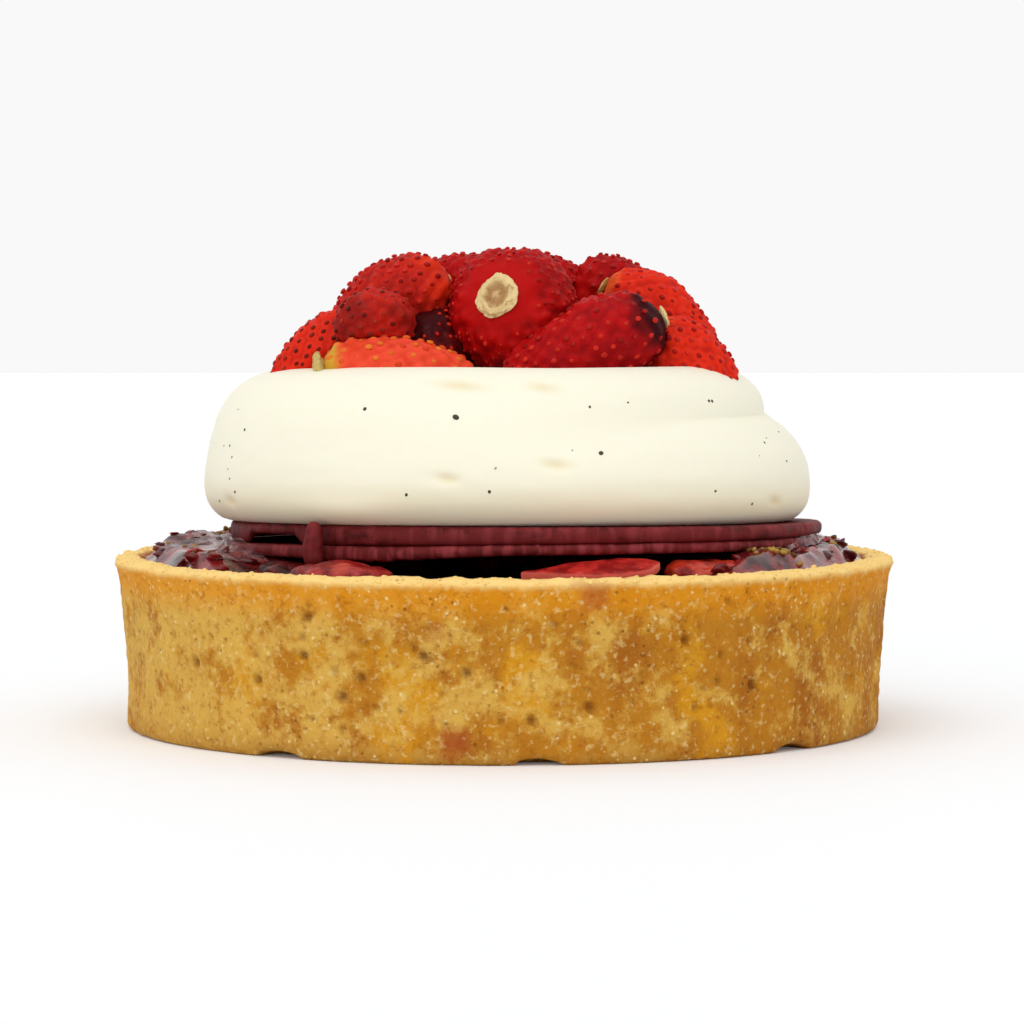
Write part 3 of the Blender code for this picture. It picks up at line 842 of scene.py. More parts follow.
@dataclass
class Compote:
    """The dark wet filling with its pulp and loose seeds, and the pieces of fruit sunk in it."""

    level: float = 18.2 * MM
    heap: float = 3.7 * MM
    edge: float = 19.9 * MM
    edge_dip: float = 1.2 * MM
    edge_width: float = 2.8 * MM
    wall_radius: float = 42.9 * MM
    hollow: tuple[float, float] = (-97, math.radians(48))
    segments: int = 480
    finish: CompoteFinish = field(default_factory=CompoteFinish)

    def heaped(self, points: np.ndarray) -> np.ndarray:
        """0 in the hollow at the front and 1 where the filling is heaped."""
        off_hollow = np.abs(arc_from(np.arctan2(points[:, 1], points[:, 0]), self.hollow[0]))
        return eased(0.6, 1.225, off_hollow / self.hollow[1])

    def surface(self, points: np.ndarray) -> np.ndarray:
        """Height of the compote under each point of a plan."""
        radius = np.hypot(points[:, 0], points[:, 1])
        heaped = self.heaped(points)
        at_wall = eased(self.wall_radius - self.edge_width, self.wall_radius, radius)
        flat = np.column_stack((points[:, :2], np.zeros(len(points))))
        rough = 1.0 * lumps(flat, 4.4 * MM, 21) + 0.5 * lumps(flat, 2.0 * MM, 22)
        rough = rough + 0.22 * lumps(flat, 0.9 * MM, 23)
        rough = np.maximum(rough, -0.25 + 0.05 * lumps(flat, 3 * MM, 24))
        inside = self.level + self.heap * heaped
        edge = self.edge - self.edge_dip * (1 - heaped)
        height = inside + (edge - inside) * at_wall
        height = height + rough * MM * (0.25 + 0.75 * heaped) * (1 - 0.7 * at_wall)
        clear = disc_underside(points) - 0.2 * MM
        reach = np.hypot(points[:, 0] - STACK_CENTRE.x, points[:, 1])
        past = eased(DISC_RADIUS, DISC_RADIUS + 1.6 * MM, reach)
        return np.minimum(height, clear + (height.max() - clear) * past)

    def build_filling(self) -> None:
        """Make the filling's surface, closed below the rim."""
        under = [(1 * MM, 15 * MM), (self.wall_radius - 0.6 * MM, 15 * MM), (self.wall_radius, 16.6 * MM)]
        radii = [*np.arange(self.wall_radius / MM, 32, -0.35), *range(31, 2, -3), 1]
        rings = under + [(radius * MM, self.level) for radius in radii]
        piece = stacked_rings("compote_filling", rings, self.segments)
        points = places(piece)
        top = points[:, 2] > self.level - 0.5 * MM
        points[top, 2] = self.surface(points[top])
        move_to(piece, points)
        paint(piece, "heaped", self.heaped(points))
        dress(piece, self.finish.make(), "compote", "compote")

    def build_fruit(self) -> None:
        """Make each sunken piece of fruit over its own node."""
        looks = (
            StewedFinish("stewed_red", "#A8201A", "#6A0B0E", "#C84A38").make(),
            StewedFinish("stewed_dark", "#5E0D0F", "#2C0407", "#8A2420").make(),
            StewedFinish("stewed_orange", "#BC3018", "#7C1410", "#D0583A").make(),
        )
        nodes = {
            "fruit_front_left": 0,
            "fruit_under_left": 1,
            "fruit_far_left": 1,
            "fruit_under_right": 2,
            "fruit_far_right": 1,
            "fruit_back_right": 0,
            "fruit_back": 2,
            "fruit_back_left": 0,
        }
        for number, (node, look) in enumerate(nodes.items()):
            low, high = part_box(node)
            centre, half = (low + high) / 2, (high - low) / 2
            turn = math.atan2(centre.y, centre.x) + math.pi / 2
            length = math.hypot(half.x * math.cos(turn), half.y * math.sin(turn)) * 1.15
            width = math.hypot(half.x * math.sin(turn), half.y * math.cos(turn)) * 0.95
            piece = ball("stewed_" + node, 96, 60)
            round_shape = places(piece)
            boxy = np.sign(round_shape) * np.abs(round_shape) ** np.array([0.85, 0.85, 0.6])
            points = boxy * np.array([length, width, half.z * 0.96])
            rough = 1.1 * lumps(points, 3.2 * MM, 30 + number) + 0.5 * lumps(points, 1.4 * MM, 50 + number)
            rough += 0.2 * lumps(points, 0.7 * MM, 70 + number)
            points = points + round_shape * rough[:, None] * np.array([1.0, 0.7, 0.5]) * MM
            spin = np.array(Matrix.Rotation(turn, 3, "Z"))
            placed = points @ spin.T + np.array(centre)
            room = np.where(under_disc(placed), disc_underside(placed) - 0.15 * MM, 1.0)
            placed[:, 2] = np.minimum(placed[:, 2], room)
            move_to(piece, placed)
            paint(piece, "cut", eased(0.25, 0.8, lumps(placed, 3 * MM, 60 + number)) * 0.7)
            dress(piece, looks[look], "fruit", node)

    def build_slice(self) -> None:
        """Make the thin slice of berry that lies against the rim at the front."""
        low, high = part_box("fruit_slice")
        centre, size = (low + high) / 2, high - low
        piece = ball("berry_slice", 160, 40)
        points = places(piece)
        angle = np.arctan2(points[:, 1], points[:, 0])
        across = np.clip(np.hypot(points[:, 0], points[:, 1]), 0, 1)
        spread = across**0.3
        outline = 1 + 0.04 * np.sin(3 * angle + 0.6) + 0.02 * np.sin(7 * angle)
        x = spread * np.cos(angle) * outline
        y = spread * np.sin(angle) * (0.6 + 0.4 * np.cos(angle)) * outline
        thick = np.sign(points[:, 2]) * np.abs(points[:, 2]) ** 0.25
        flat = np.column_stack((x * 0.5 * size.x, y * 4.2 * MM, thick * 0.62 * MM))
        flat[:, 2] += (0.1 * lumps(flat, 3 * MM, 71) + 0.07 * lumps(flat, 1 * MM, 72)) * MM
        turn = Matrix.Rotation(math.radians(8), 4, "Z") @ Matrix.Rotation(math.radians(13), 4, "X")
        place = Matrix.Translation(centre) @ turn @ Matrix.Rotation(math.radians(-3), 4, "Y")
        matrix = np.array(place)
        move_to(piece, flat @ matrix[:3, :3].T + matrix[:3, 3])
        paint(piece, "cut", eased(0.93, 0.98, spread) * (1 - eased(0.55, 0.85, np.abs(thick))))
        finish = StewedFinish("stewed_slice", "#CC2E26", "#8A1414", "#EC6A58")
        dress(piece, finish.make(), "fruit", "fruit_slice")

    def build_pulp(self) -> None:
        """Scatter soft bits of fruit and loose seeds over the filling round the discs."""
        rng = np.random.default_rng(77)
        azimuth = rng.uniform(-math.pi, math.pi, 420)
        points = polar(azimuth, rng.uniform(34.8, 42.2, 420) * MM, np.zeros(420))
        points = points[self.heaped(points) > 0.35][:130]
        count = len(points)
        points[:, 2] = self.surface(points) - 0.1 * MM
        ups = np.tile([0.0, 0.0, 1.0], (count, 1)) + rng.normal(0, 0.4, (count, 3))
        alongs = rng.normal(0, 1, (count, 3))
        sizes = rng.uniform(0.35, 1.0, (count, 1)) ** 1.6 * rng.uniform(0.7, 1.2, (count, 3)) * 1.3 * MM
        sizes[:, 2] *= 0.55
        bit = ball("bit", 14, 9)
        shape = places(bit)
        move_to(bit, shape * (1 + 0.45 * lumps(shape, 0.8, 81) + 0.2 * lumps(shape, 0.35, 82))[:, None])
        frames = standing(points, ups, alongs, sizes)
        piece = scattered("compote_pulp", bit, frames, tint=rng.uniform(0, 1, count) ** 2)
        dress(piece, BeadFinish("pulp", "#4A080A", "#A81C16", 0.18, 0.4).make(), "compote")
        azimuth = np.append(rng.uniform(-math.pi, math.pi, 70), np.radians(rng.normal(-39, 2.2, 16)))
        reach = np.append(rng.uniform(36, 42.2, 70), rng.normal(39.6, 0.8, 16)) * MM
        seeds = polar(azimuth, reach, np.zeros(len(reach)))
        seeds = seeds[self.heaped(seeds) > 0.3]
        seeds[:, 2] = self.surface(seeds) + 0.08 * MM
        count = len(seeds)
        sizes = np.array([0.5, 0.34, 0.26]) * rng.uniform(0.8, 1.2, (count, 1)) * MM
        ups = np.tile([0.0, 0.0, 1.0], (count, 1)) + rng.normal(0, 0.35, (count, 3))
        frames = standing(seeds, ups, rng.normal(0, 1, (count, 3)), sizes)
        piece = scattered("compote_seeds", ball("seed", 8, 6), frames, tint=rng.uniform(0, 1, count))
        dress(piece, BeadFinish("loose_seeds", "#5A3A12", "#B08A40").make(), "compote")

    def build_films(self) -> None:
        """Stretch thin skins of clear jelly from the discs' edge to the filling, at three places."""
        material = JellyFinish().make()
        films = (("jelly_left", 162, 214, 91), ("jelly_right", -34, 14, 92), ("jelly_back", 70, 104, 93))
        for name, start, end, seed in films:
            bpy.ops.object.select_all(action="DESELECT")
            bpy.ops.mesh.primitive_grid_add(x_subdivisions=110, y_subdivisions=26, size=2)
            piece = start_piece(name)
            flat = places(piece)
            along, out = (flat[:, 0] + 1) / 2, (flat[:, 1] + 1) / 2
            azimuth = np.radians(start + (end - start) * along)
            wave = np.column_stack((along * 9, out * 1.2, np.zeros(len(flat))))
            reach = 3.6 + 1.6 * lumps(wave * np.array([1, 0, 0]), 1.4, seed)
            radius = (35.2 + reach * out) * MM
            points = polar(azimuth, radius, np.zeros(len(flat)))
            points[:, 0] += STACK_CENTRE.x * (1 - out)
            top = disc_underside(points) + (1.9 + 0.35 * lumps(wave, 1.1, seed + 3)) * MM
            foot = self.surface(points) + 0.1 * MM
            drape = top + (foot - top) * eased(0, 1, out) ** 0.8 + 0.16 * MM * lumps(wave, 0.6, seed + 6)
            points[:, 2] = np.maximum(drape, foot)
            fade = np.minimum(along, 1 - along)
            points[:, 2] = foot + (points[:, 2] - foot) * eased(0, 0.3, fade)
            move_to(piece, points)
            shell = piece.modifiers.new("skin", "SOLIDIFY")
            shell.thickness = 0.08 * MM
            bpy.context.view_layer.objects.active = piece
            bpy.ops.object.modifier_apply(modifier=shell.name)
            dress(piece, material, "compote")

    def build(self) -> None:
        """Make the filling and all that lies in it."""
        self.build_filling()
        self.build_fruit()
        self.build_slice()
        self.build_pulp()
        self.build_films()


# ---------------------------------------------------------------------------------------------------
# The fruit discs
# ---------------------------------------------------------------------------------------------------

STACK_CENTRE = Vector((2.3, 0.0, 21.7)) * MM
STACK_TILT = (math.radians(-1.7), math.radians(0.15))
LOWER_DISC_DROP = 0.5 * MM
LOWER_DISC_TILT = math.radians(-0.8)
DISC_RADIUS = 35.4 * MM
DISC_THICKNESS = 1.2 * MM
GAP = 0.3 * MM


def stack_place(points: np.ndarray, extra_tilt: float = 0.0) -> np.ndarray:
    """Carry points from the stack's own frame, where Z is 0 under the discs, to the tart's."""
    turn = Matrix.Rotation(STACK_TILT[1], 4, "Y") @ Matrix.Rotation(STACK_TILT[0], 4, "X")
    matrix = np.array(Matrix.Translation(STACK_CENTRE) @ turn @ Matrix.Rotation(extra_tilt, 4, "Y"))
    return points @ matrix[:3, :3].T + matrix[:3, 3]


def disc_underside(points: np.ndarray) -> np.ndarray:
    """Height of the lower disc's underside over each point."""
    across = (points[:, 0] - STACK_CENTRE.x) * math.tan(STACK_TILT[1] + LOWER_DISC_TILT)
    return STACK_CENTRE.z - LOWER_DISC_DROP + points[:, 1] * math.tan(STACK_TILT[0]) - across


def under_disc(points: np.ndarray) -> np.ndarray:
    """Whether each point lies under the discs, or nearly."""
    return np.hypot(points[:, 0] - STACK_CENTRE.x, points[:, 1]) < DISC_RADIUS + 1.2 * MM


@dataclass
class FruitDiscs:
    """The pair of thin discs under the cream, and the drip that has set on their edge."""

    segments: int = 420
    finish: FruitDiscFinish = field(default_factory=FruitDiscFinish)

    def rings(self) -> list[tuple[float, float]]:
        """Radius and height of a disc's rings."""
        corner = 0.16 * MM
        side = np.linspace(corner, DISC_THICKNESS - corner, 6)
        under = [(radius * MM, 0.0) for radius in (1, 15, 26, 32, 34)] + [(DISC_RADIUS - corner, 0.0)]
        over = [(DISC_RADIUS - corner, DISC_THICKNESS)]
        over += [(radius * MM, DISC_THICKNESS) for radius in (34, 32, 26, 15, 1)]
        return under + [(DISC_RADIUS, height) for height in side] + over

    def build_disc(self, name: str, node: str, lower: bool, material: bpy.types.Material) -> None:
        """Make one disc with a ridged cut edge, ragged below on the left."""
        piece = stacked_rings(name, self.rings(), self.segments)
        points = places(piece)
        seed = 90 if lower else 95
        azimuth = np.arctan2(points[:, 1], points[:, 0])
        radius = np.hypot(points[:, 0], points[:, 1])
        rim = eased(DISC_RADIUS - 1.2 * MM, DISC_RADIUS - 0.1 * MM, radius)
        ridge_at = np.column_stack((points[:, :2], points[:, 2] * 0.15))
        out = 0.16 * lumps(ridge_at, 0.7 * MM, seed) + 0.16 * lumps(ridge_at, 2.4 * MM, seed + 1)
        out += 0.07 * lumps(points, 0.5 * MM, seed + 4)
        level = points[:, 2] / DISC_THICKNESS
        radius = radius + rim * (out - 0.25 * (2 * level - 1) ** 2) * MM
        ragged = np.exp(-((arc_from(azimuth, -124) / 0.36) ** 2)) if lower else np.zeros(len(points))
        droop = ragged * (0.35 + 0.45 * np.abs(lumps(ridge_at, 1.4 * MM, seed + 2)))
        if not lower:
            parted = 1 - eased(0.13, 0.19, np.abs(arc_from(azimuth, -147)))
            parted = np.maximum(parted, 0.5 * (1 - eased(0.2, 0.4, np.abs(arc_from(azimuth, 110)))))
            droop = (1 - parted) * (0.78 - 0.49 * np.cos(azimuth))
        wave = 0.12 * lumps(points, 14 * MM, seed + 3) * rim
        flat = polar(azimuth, radius, points[:, 2] + (wave - droop * rim * (1 - level)) * MM)
        flat[:, 2] += -LOWER_DISC_DROP if lower else DISC_THICKNESS + GAP
        flat[:, 0] += 0.0 if lower else 0.4 * MM
        move_to(piece, stack_place(flat, LOWER_DISC_TILT if lower else 0.0))
        paint(piece, "side", rim)
        paint(piece, "wet", np.full(len(points), 0.45 if lower else 0.95))
        paint(piece, "bloom", 0.55 + 0.3 * lower + 0.5 * level * (not lower) - 0.4 * (not lower))
        dress(piece, material, "fruit_disc", node)

    def build_drip(self, material: bpy.types.Material) -> None:
        """Make the drip that runs down the edge to the fruit."""
        low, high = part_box("disc_drip")
        centre, half = (low + high) / 2, (high - low) / 2
        piece = ball("paste_drip", 48, 32)
        points = places(piece)
        points = np.sign(points) * np.abs(points) ** 0.8
        points = points * np.array([half.x * 0.95, half.y * 0.95, half.z * 1.08])
        away = points / np.linalg.norm(points, axis=1, keepdims=True)
        points = points + away * (0.5 * MM * layered(points, 1.6 * MM, 2, 99))[:, None]
        move_to(piece, points + np.array(centre))
        for name in ("side", "wet", "bloom"):
            paint(piece, name, np.full(len(points), 0.6))
        dress(piece, material, "fruit_disc", "disc_drip")

    def build(self) -> None:
        """Make both discs and the drip."""
        material = self.finish.make()
        self.build_disc("paste_disc_lower", "disc_lower", True, material)
        self.build_disc("paste_disc_upper", "disc_upper", False, material)
        self.build_drip(material)


# ---------------------------------------------------------------------------------------------------
# The cream
# ---------------------------------------------------------------------------------------------------


@dataclass
class Oval:
    """The section of one turn of the strand, as distances from the ring's axis and above the discs."""

    radius: float
    height: float
    half_width: float
    half_height: float

    def towards(self, other: "Oval", share: np.ndarray) -> "Oval":
        """This section mixed with another's."""
        mine, theirs = vars(self), vars(other)
        return Oval(**{key: mine[key] + (theirs[key] - mine[key]) * share for key in mine})

    def reach(self, heart: tuple[float, float], way_x: np.ndarray, way_y: np.ndarray) -> np.ndarray:
        """How far the oval reaches from a heart along each ray, or 0 where it is missed."""
        start_x = (heart[0] - self.radius) / self.half_width
        start_y = (heart[1] - self.height) / self.half_height
        run_x, run_y = way_x / self.half_width, way_y / self.half_height
        along = run_x * start_x + run_y * start_y
        square = run_x**2 + run_y**2
        inside = along**2 - square * (start_x**2 + start_y**2 - 1)
        reach = (np.sqrt(np.maximum(inside, 0)) - along) / square
        return np.where(inside > 0, np.maximum(reach, 0.0), 0.0)


@dataclass
class CreamRing:
    """The strand of cream, piped in two turns, whose end lies on the turn below at the right."""

    shift: float = -1.8 * MM
    lower: Oval = field(default_factory=lambda: Oval(27.0 * MM, 4.6 * MM, 9.4 * MM, 8.8 * MM))
    fused: Oval = field(default_factory=lambda: Oval(26.6 * MM, 11.9 * MM, 7.0 * MM, 5.7 * MM))
    free: Oval = field(default_factory=lambda: Oval(24.0 * MM, 13.2 * MM, 6.6 * MM, 5.3 * MM))
    start: Oval = field(default_factory=lambda: Oval(25.0 * MM, 8.2 * MM, 6.0 * MM, 4.6 * MM))
    heart: tuple[float, float] = (25.6 * MM, 8.4 * MM)
    tail_azimuth: float = math.radians(12)
    tail_length: float = math.radians(10)
    fused_azimuth: float = math.radians(-112)
    blend_free: float = 0.4 * MM
    blend_fused: float = 7.0 * MM
    foot_round: tuple[float, float] = (1.6 * MM, 3.0 * MM)
    hollow_floor: float = 10.8 * MM
    segments: int = 340
    rings: int = 190
    speck_count: int = 24
    dents: tuple[tuple[float, ...], ...] = (
        (-99.5, 15.7, 2.6, 0.25), (-83, 15.5, 1.6, 0.15), (-100.5, 5.3, 1.2, 0.4), (-81.5, 6.9, 1.6, 0.45),
        (-153, 2.4, 1.2, 0.5), (-31, 2.6, 1.4, 0.4), (60, 9.0, 2.4, 0.4),
        (110, 5.0, 1.8, 0.4), (170, 12, 2.0, 0.35),
    )  # azimuth, height, length and depth in mm
    specks: tuple[tuple[float, float, float], ...] = (
        (-99.3, 12.6, 0.42), (-72.7, 8.6, 0.3), (-43, 15.9, 0.22), (-41.8, 15.8, 0.2), (-117.5, 14.1, 0.24),
        (-108, 3.4, 0.2), (-93.3, 3.7, 0.2), (-65, 15.5, 0.16), (-50, 3.7, 0.18), (-149, 10.9, 0.2),
        (-154.5, 8.7, 0.18), (-152, 7.5, 0.16), (-150, 3.2, 0.2), (-32, 10.8, 0.16), (-25.5, 7.3, 0.18),
    )  # azimuth, height and half width in mm
    finish: CreamFinish = field(default_factory=CreamFinish)

    def section(self, azimuth: np.ndarray, share: np.ndarray) -> tuple[np.ndarray, np.ndarray, np.ndarray]:
        """Radius, height and amount of painted crease shade of each point of the strand's skin.

        Args:
            azimuth: The point's direction from the ring's axis.
            share: Its place on the section, from 0 under the middle to 1 in the hollow.
        """
        under, over = 0.14, 0.78
        to_tail = (self.tail_azimuth - azimuth) % (2 * math.pi)
        ending = eased(0, self.tail_length, to_tail)
        free = ending * (1 - eased(0, self.tail_azimuth - self.fused_azimuth, to_tail))
        risen = np.minimum(eased(0, math.pi, 2 * math.pi - to_tail), ending)
        turn = self.start.towards(self.fused.towards(self.free, free), risen)
        blend = self.blend_fused + (self.blend_free - self.blend_fused) * np.minimum(1.8 * free, 1)
        along = np.clip((share - under) / (over - under), 0, 1)
        angle = np.radians(-52 + 218 * along)
        way_x, way_y = np.cos(angle), np.sin(angle)
        first = self.lower.reach(self.heart, way_x, way_y)
        second = turn.reach(self.heart, way_x, way_y)
        mix = np.clip(blend - np.abs(first - second), 0, None) / blend
        reach = np.maximum(first, second) + mix * mix * blend / 4
        # Painted shade in the crease between the turns, strongest near the strand's end.
        fold_shade = mix**2 * (0.12 * free + 0.9 * eased(0.9, 1, free))
        radius = self.heart[0] + way_x * reach
        height = np.maximum(self.heart[1] + way_y * reach, 0.0)
        curl = np.clip(1 - height / self.foot_round[1], 0, 1)
        radius = radius - np.where(angle < 0, self.foot_round[0] * (1 - np.sqrt(1 - curl**2)), 0.0)
        inward = np.clip((share - over) / (1 - over), 0, 1)
        sunk = height + (self.hollow_floor - height) * eased(0, 0.5, inward)
        radius, height = radius * (1 - inward), np.where(share > over, sunk, height)
        below = np.clip(share / under, 0, 1)
        return radius * np.where(share < under, below, 1), np.where(share < under, 0.0, height), fold_shade

    def sculpt(self, piece: bpy.types.Object) -> None:
        """Lay a sphere's grid over the strand, then add the marks of piping."""
        grid = places(piece)
        azimuth = np.arctan2(grid[:, 1], grid[:, 0])
        share = 1 - np.arccos(np.clip(grid[:, 2], -1, 1)) / math.pi
        radius, height, fold_shade = self.section(azimuth, share)
        pole = np.hypot(grid[:, 0], grid[:, 1]) < 1e-6
        radius = np.where(pole, 0.0, radius)
        height = np.where(pole, np.where(grid[:, 2] > 0, self.hollow_floor, 0.0), height)
        outside = eased(0.16, 0.24, share) * (1 - eased(0.8, 0.9, share))
        skin = np.column_stack((radius * np.cos(azimuth), radius * np.sin(azimuth), height))
        swell = 0.28 * lumps(skin, 16 * MM, 101) + 0.1 * lumps(skin, 6 * MM, 102)
        swell += 0.05 * lumps(skin * np.array([0.35, 0.35, 1]), 1.4 * MM, 103)
        for turn, level, length, depth in self.dents:
            arc = arc_from(azimuth, turn) * radius / MM
            dent = np.exp(-((arc / length) ** 2) - ((height / MM - level + 0.08 * arc) / 0.5) ** 2)
            swell -= depth * dent
            # Each dent also gets painted shade.
            fold_shade = np.maximum(fold_shade, dent * 0.45)
        sag = np.exp(-(((azimuth - math.radians(-121)) / 0.16) ** 2)) * (1 - eased(0, 4 * MM, height))
        # The foot is painted yellower, as shade and light bounced from the crust.
        foot = (1 - eased(0.0, 5.5 * MM, height)) * outside
        radius = radius + outside * swell * MM + 1.3 * MM * sag * outside
        height = height - 1.0 * MM * sag * outside
        flat = np.column_stack((radius * np.cos(azimuth) + self.shift, radius * np.sin(azimuth), height))
        flat[:, 2] += 2 * (DISC_THICKNESS + GAP) - 0.25 * MM
        move_to(piece, stack_place(flat))
        paint(piece, "fold_shade", np.clip(fold_shade + 0.55 * foot, 0, 1))

    def build_specks(self, ring: bpy.types.Object) -> None:
        """Scatter specks of vanilla seed over the skin."""
        rng = np.random.default_rng(5)
        more = zip(rng.uniform(-175, 180, self.speck_count), rng.uniform(1.5, 16, self.speck_count))
        sizes = rng.uniform(0.08, 0.2, self.speck_count)
        rows = [(turn, level, size) for (turn, level), size in zip(more, sizes)]
        turns, levels, sizes = np.array(list(self.specks) + rows).T
        probes = polar(np.radians(turns), np.full(len(turns), 37 * MM), levels * MM)
        probes += np.array([self.shift, 0, 2 * (DISC_THICKNESS + GAP)])
        skin = places(ring)
        which, _ = nearest(skin, stack_place(probes))
        sizes = np.column_stack((sizes, sizes * rng.uniform(0.6, 1, len(sizes)), sizes * 0.4)) * MM
        frames = standing(skin[which], directions(ring)[which], rng.normal(0, 1, (len(sizes), 3)), sizes)
        tint = np.append(np.full(len(self.specks), 0.15), rng.uniform(0.2, 1, self.speck_count))
        piece = scattered("vanilla_specks", ball("speck", 8, 6), frames, tint=tint)
        dress(piece, BeadFinish("vanilla_seed", "#17120A", "#A89C84", 0.5).make(), "cream")

    def build(self) -> None:
        """Make the ring and its specks."""
        piece = ball("cream_ring", self.segments, self.rings)
        self.sculpt(piece)
        dress(piece, self.finish.make(), "cream", "cream")
        self.build_specks(piece)


# ---------------------------------------------------------------------------------------------------
# The berries
# ---------------------------------------------------------------------------------------------------


class Ripeness(Enum):
    """How ripe a berry is, which sets its skin. The darkest skin is painted shade, for berries deep in the
    heap.
    """

    DEEP = BerryFinish("berry_deep", "#B60B0B", "#7A0406", "#B60B0A", "#920608")
    MAROON = BerryFinish("berry_maroon", "#B80D10", "#7E0507", "#38040A", "#940810")
    BRIGHT = BerryFinish("berry_bright", "#E22C14", "#A8100A", "#E0521C", "#C81C0E")
    DULL = BerryFinish("berry_dull", "#C42216", "#820B0A", "#DA3012", "#7C1410")
    ORANGE = BerryFinish("berry_orange", "#EE4E34", "#CC2A14", "#CE9A30", "#DC3C1C")
    # Painted shade: a near-black red for the berries deep in the heap, where little light reaches.
    DARK = BerryFinish("berry_dark", "#5A0508", "#260204", "#3C0408", "#380306")


class SeedKind(Enum):
    """The seeds' look, one piece for each."""

    RED = BeadFinish("red_seeds", "#8E0708", "#D02A1C")
    BROWN = BeadFinish("brown_seeds", "#5A0C08", "#A42A16")
    GOLDEN = BeadFinish("golden_seeds", "#D03C16", "#E67C28")


@dataclass
class Berry:
    """One small strawberry: its node, its middle, the way its tip points, and its size and look."""

    node: str
    middle: Vector
    way: tuple[float, float, float]
    length: float
    width: float
    taper: float
    ripeness: Ripeness
    seeds: SeedKind
    hull_size: float = 0.0
    hull_green: float = 0.0
    seed_scale: float = 1.0
    hull_reach: float = -0.55

    def half_width(self, share: np.ndarray) -> np.ndarray:
        """Half width from the hull, at share -1, to the tip, at share 1."""
        round_shape = np.sqrt(np.clip(1 - share**2, 0, 1))
        return self.width / 2 * round_shape * (1 - self.taper * (share + 0.35) * 0.42)

    def skin(self, share: np.ndarray, angle: np.ndarray, number: int) -> np.ndarray:
        """Points of the skin in the berry's own frame, its tip up."""
        radius = self.half_width(share)
        points = np.column_stack((radius * np.cos(angle), radius * np.sin(angle), share * self.length / 2))
        swell = 0.35 * lumps(points, 5 * MM, 200 + number) + 0.16 * lumps(points, 2.4 * MM, 230 + number)
        away = points / np.maximum(np.linalg.norm(points, axis=1, keepdims=True), 1e-9)
        return points + away * (swell * MM)[:, None]

    def axes(self) -> np.ndarray:
        """The berry's own axes as columns, its tip along the last."""
        turn = Vector(self.way).normalized().to_track_quat("Z", "Y").to_matrix()
        return np.array(turn)

    def centre(self) -> np.ndarray:
        """The berry's middle."""
        return np.array(self.middle)


DEEP, MAROON, BRIGHT, DULL, ORANGE, DARK = Ripeness
RED, BROWN, GOLDEN = SeedKind


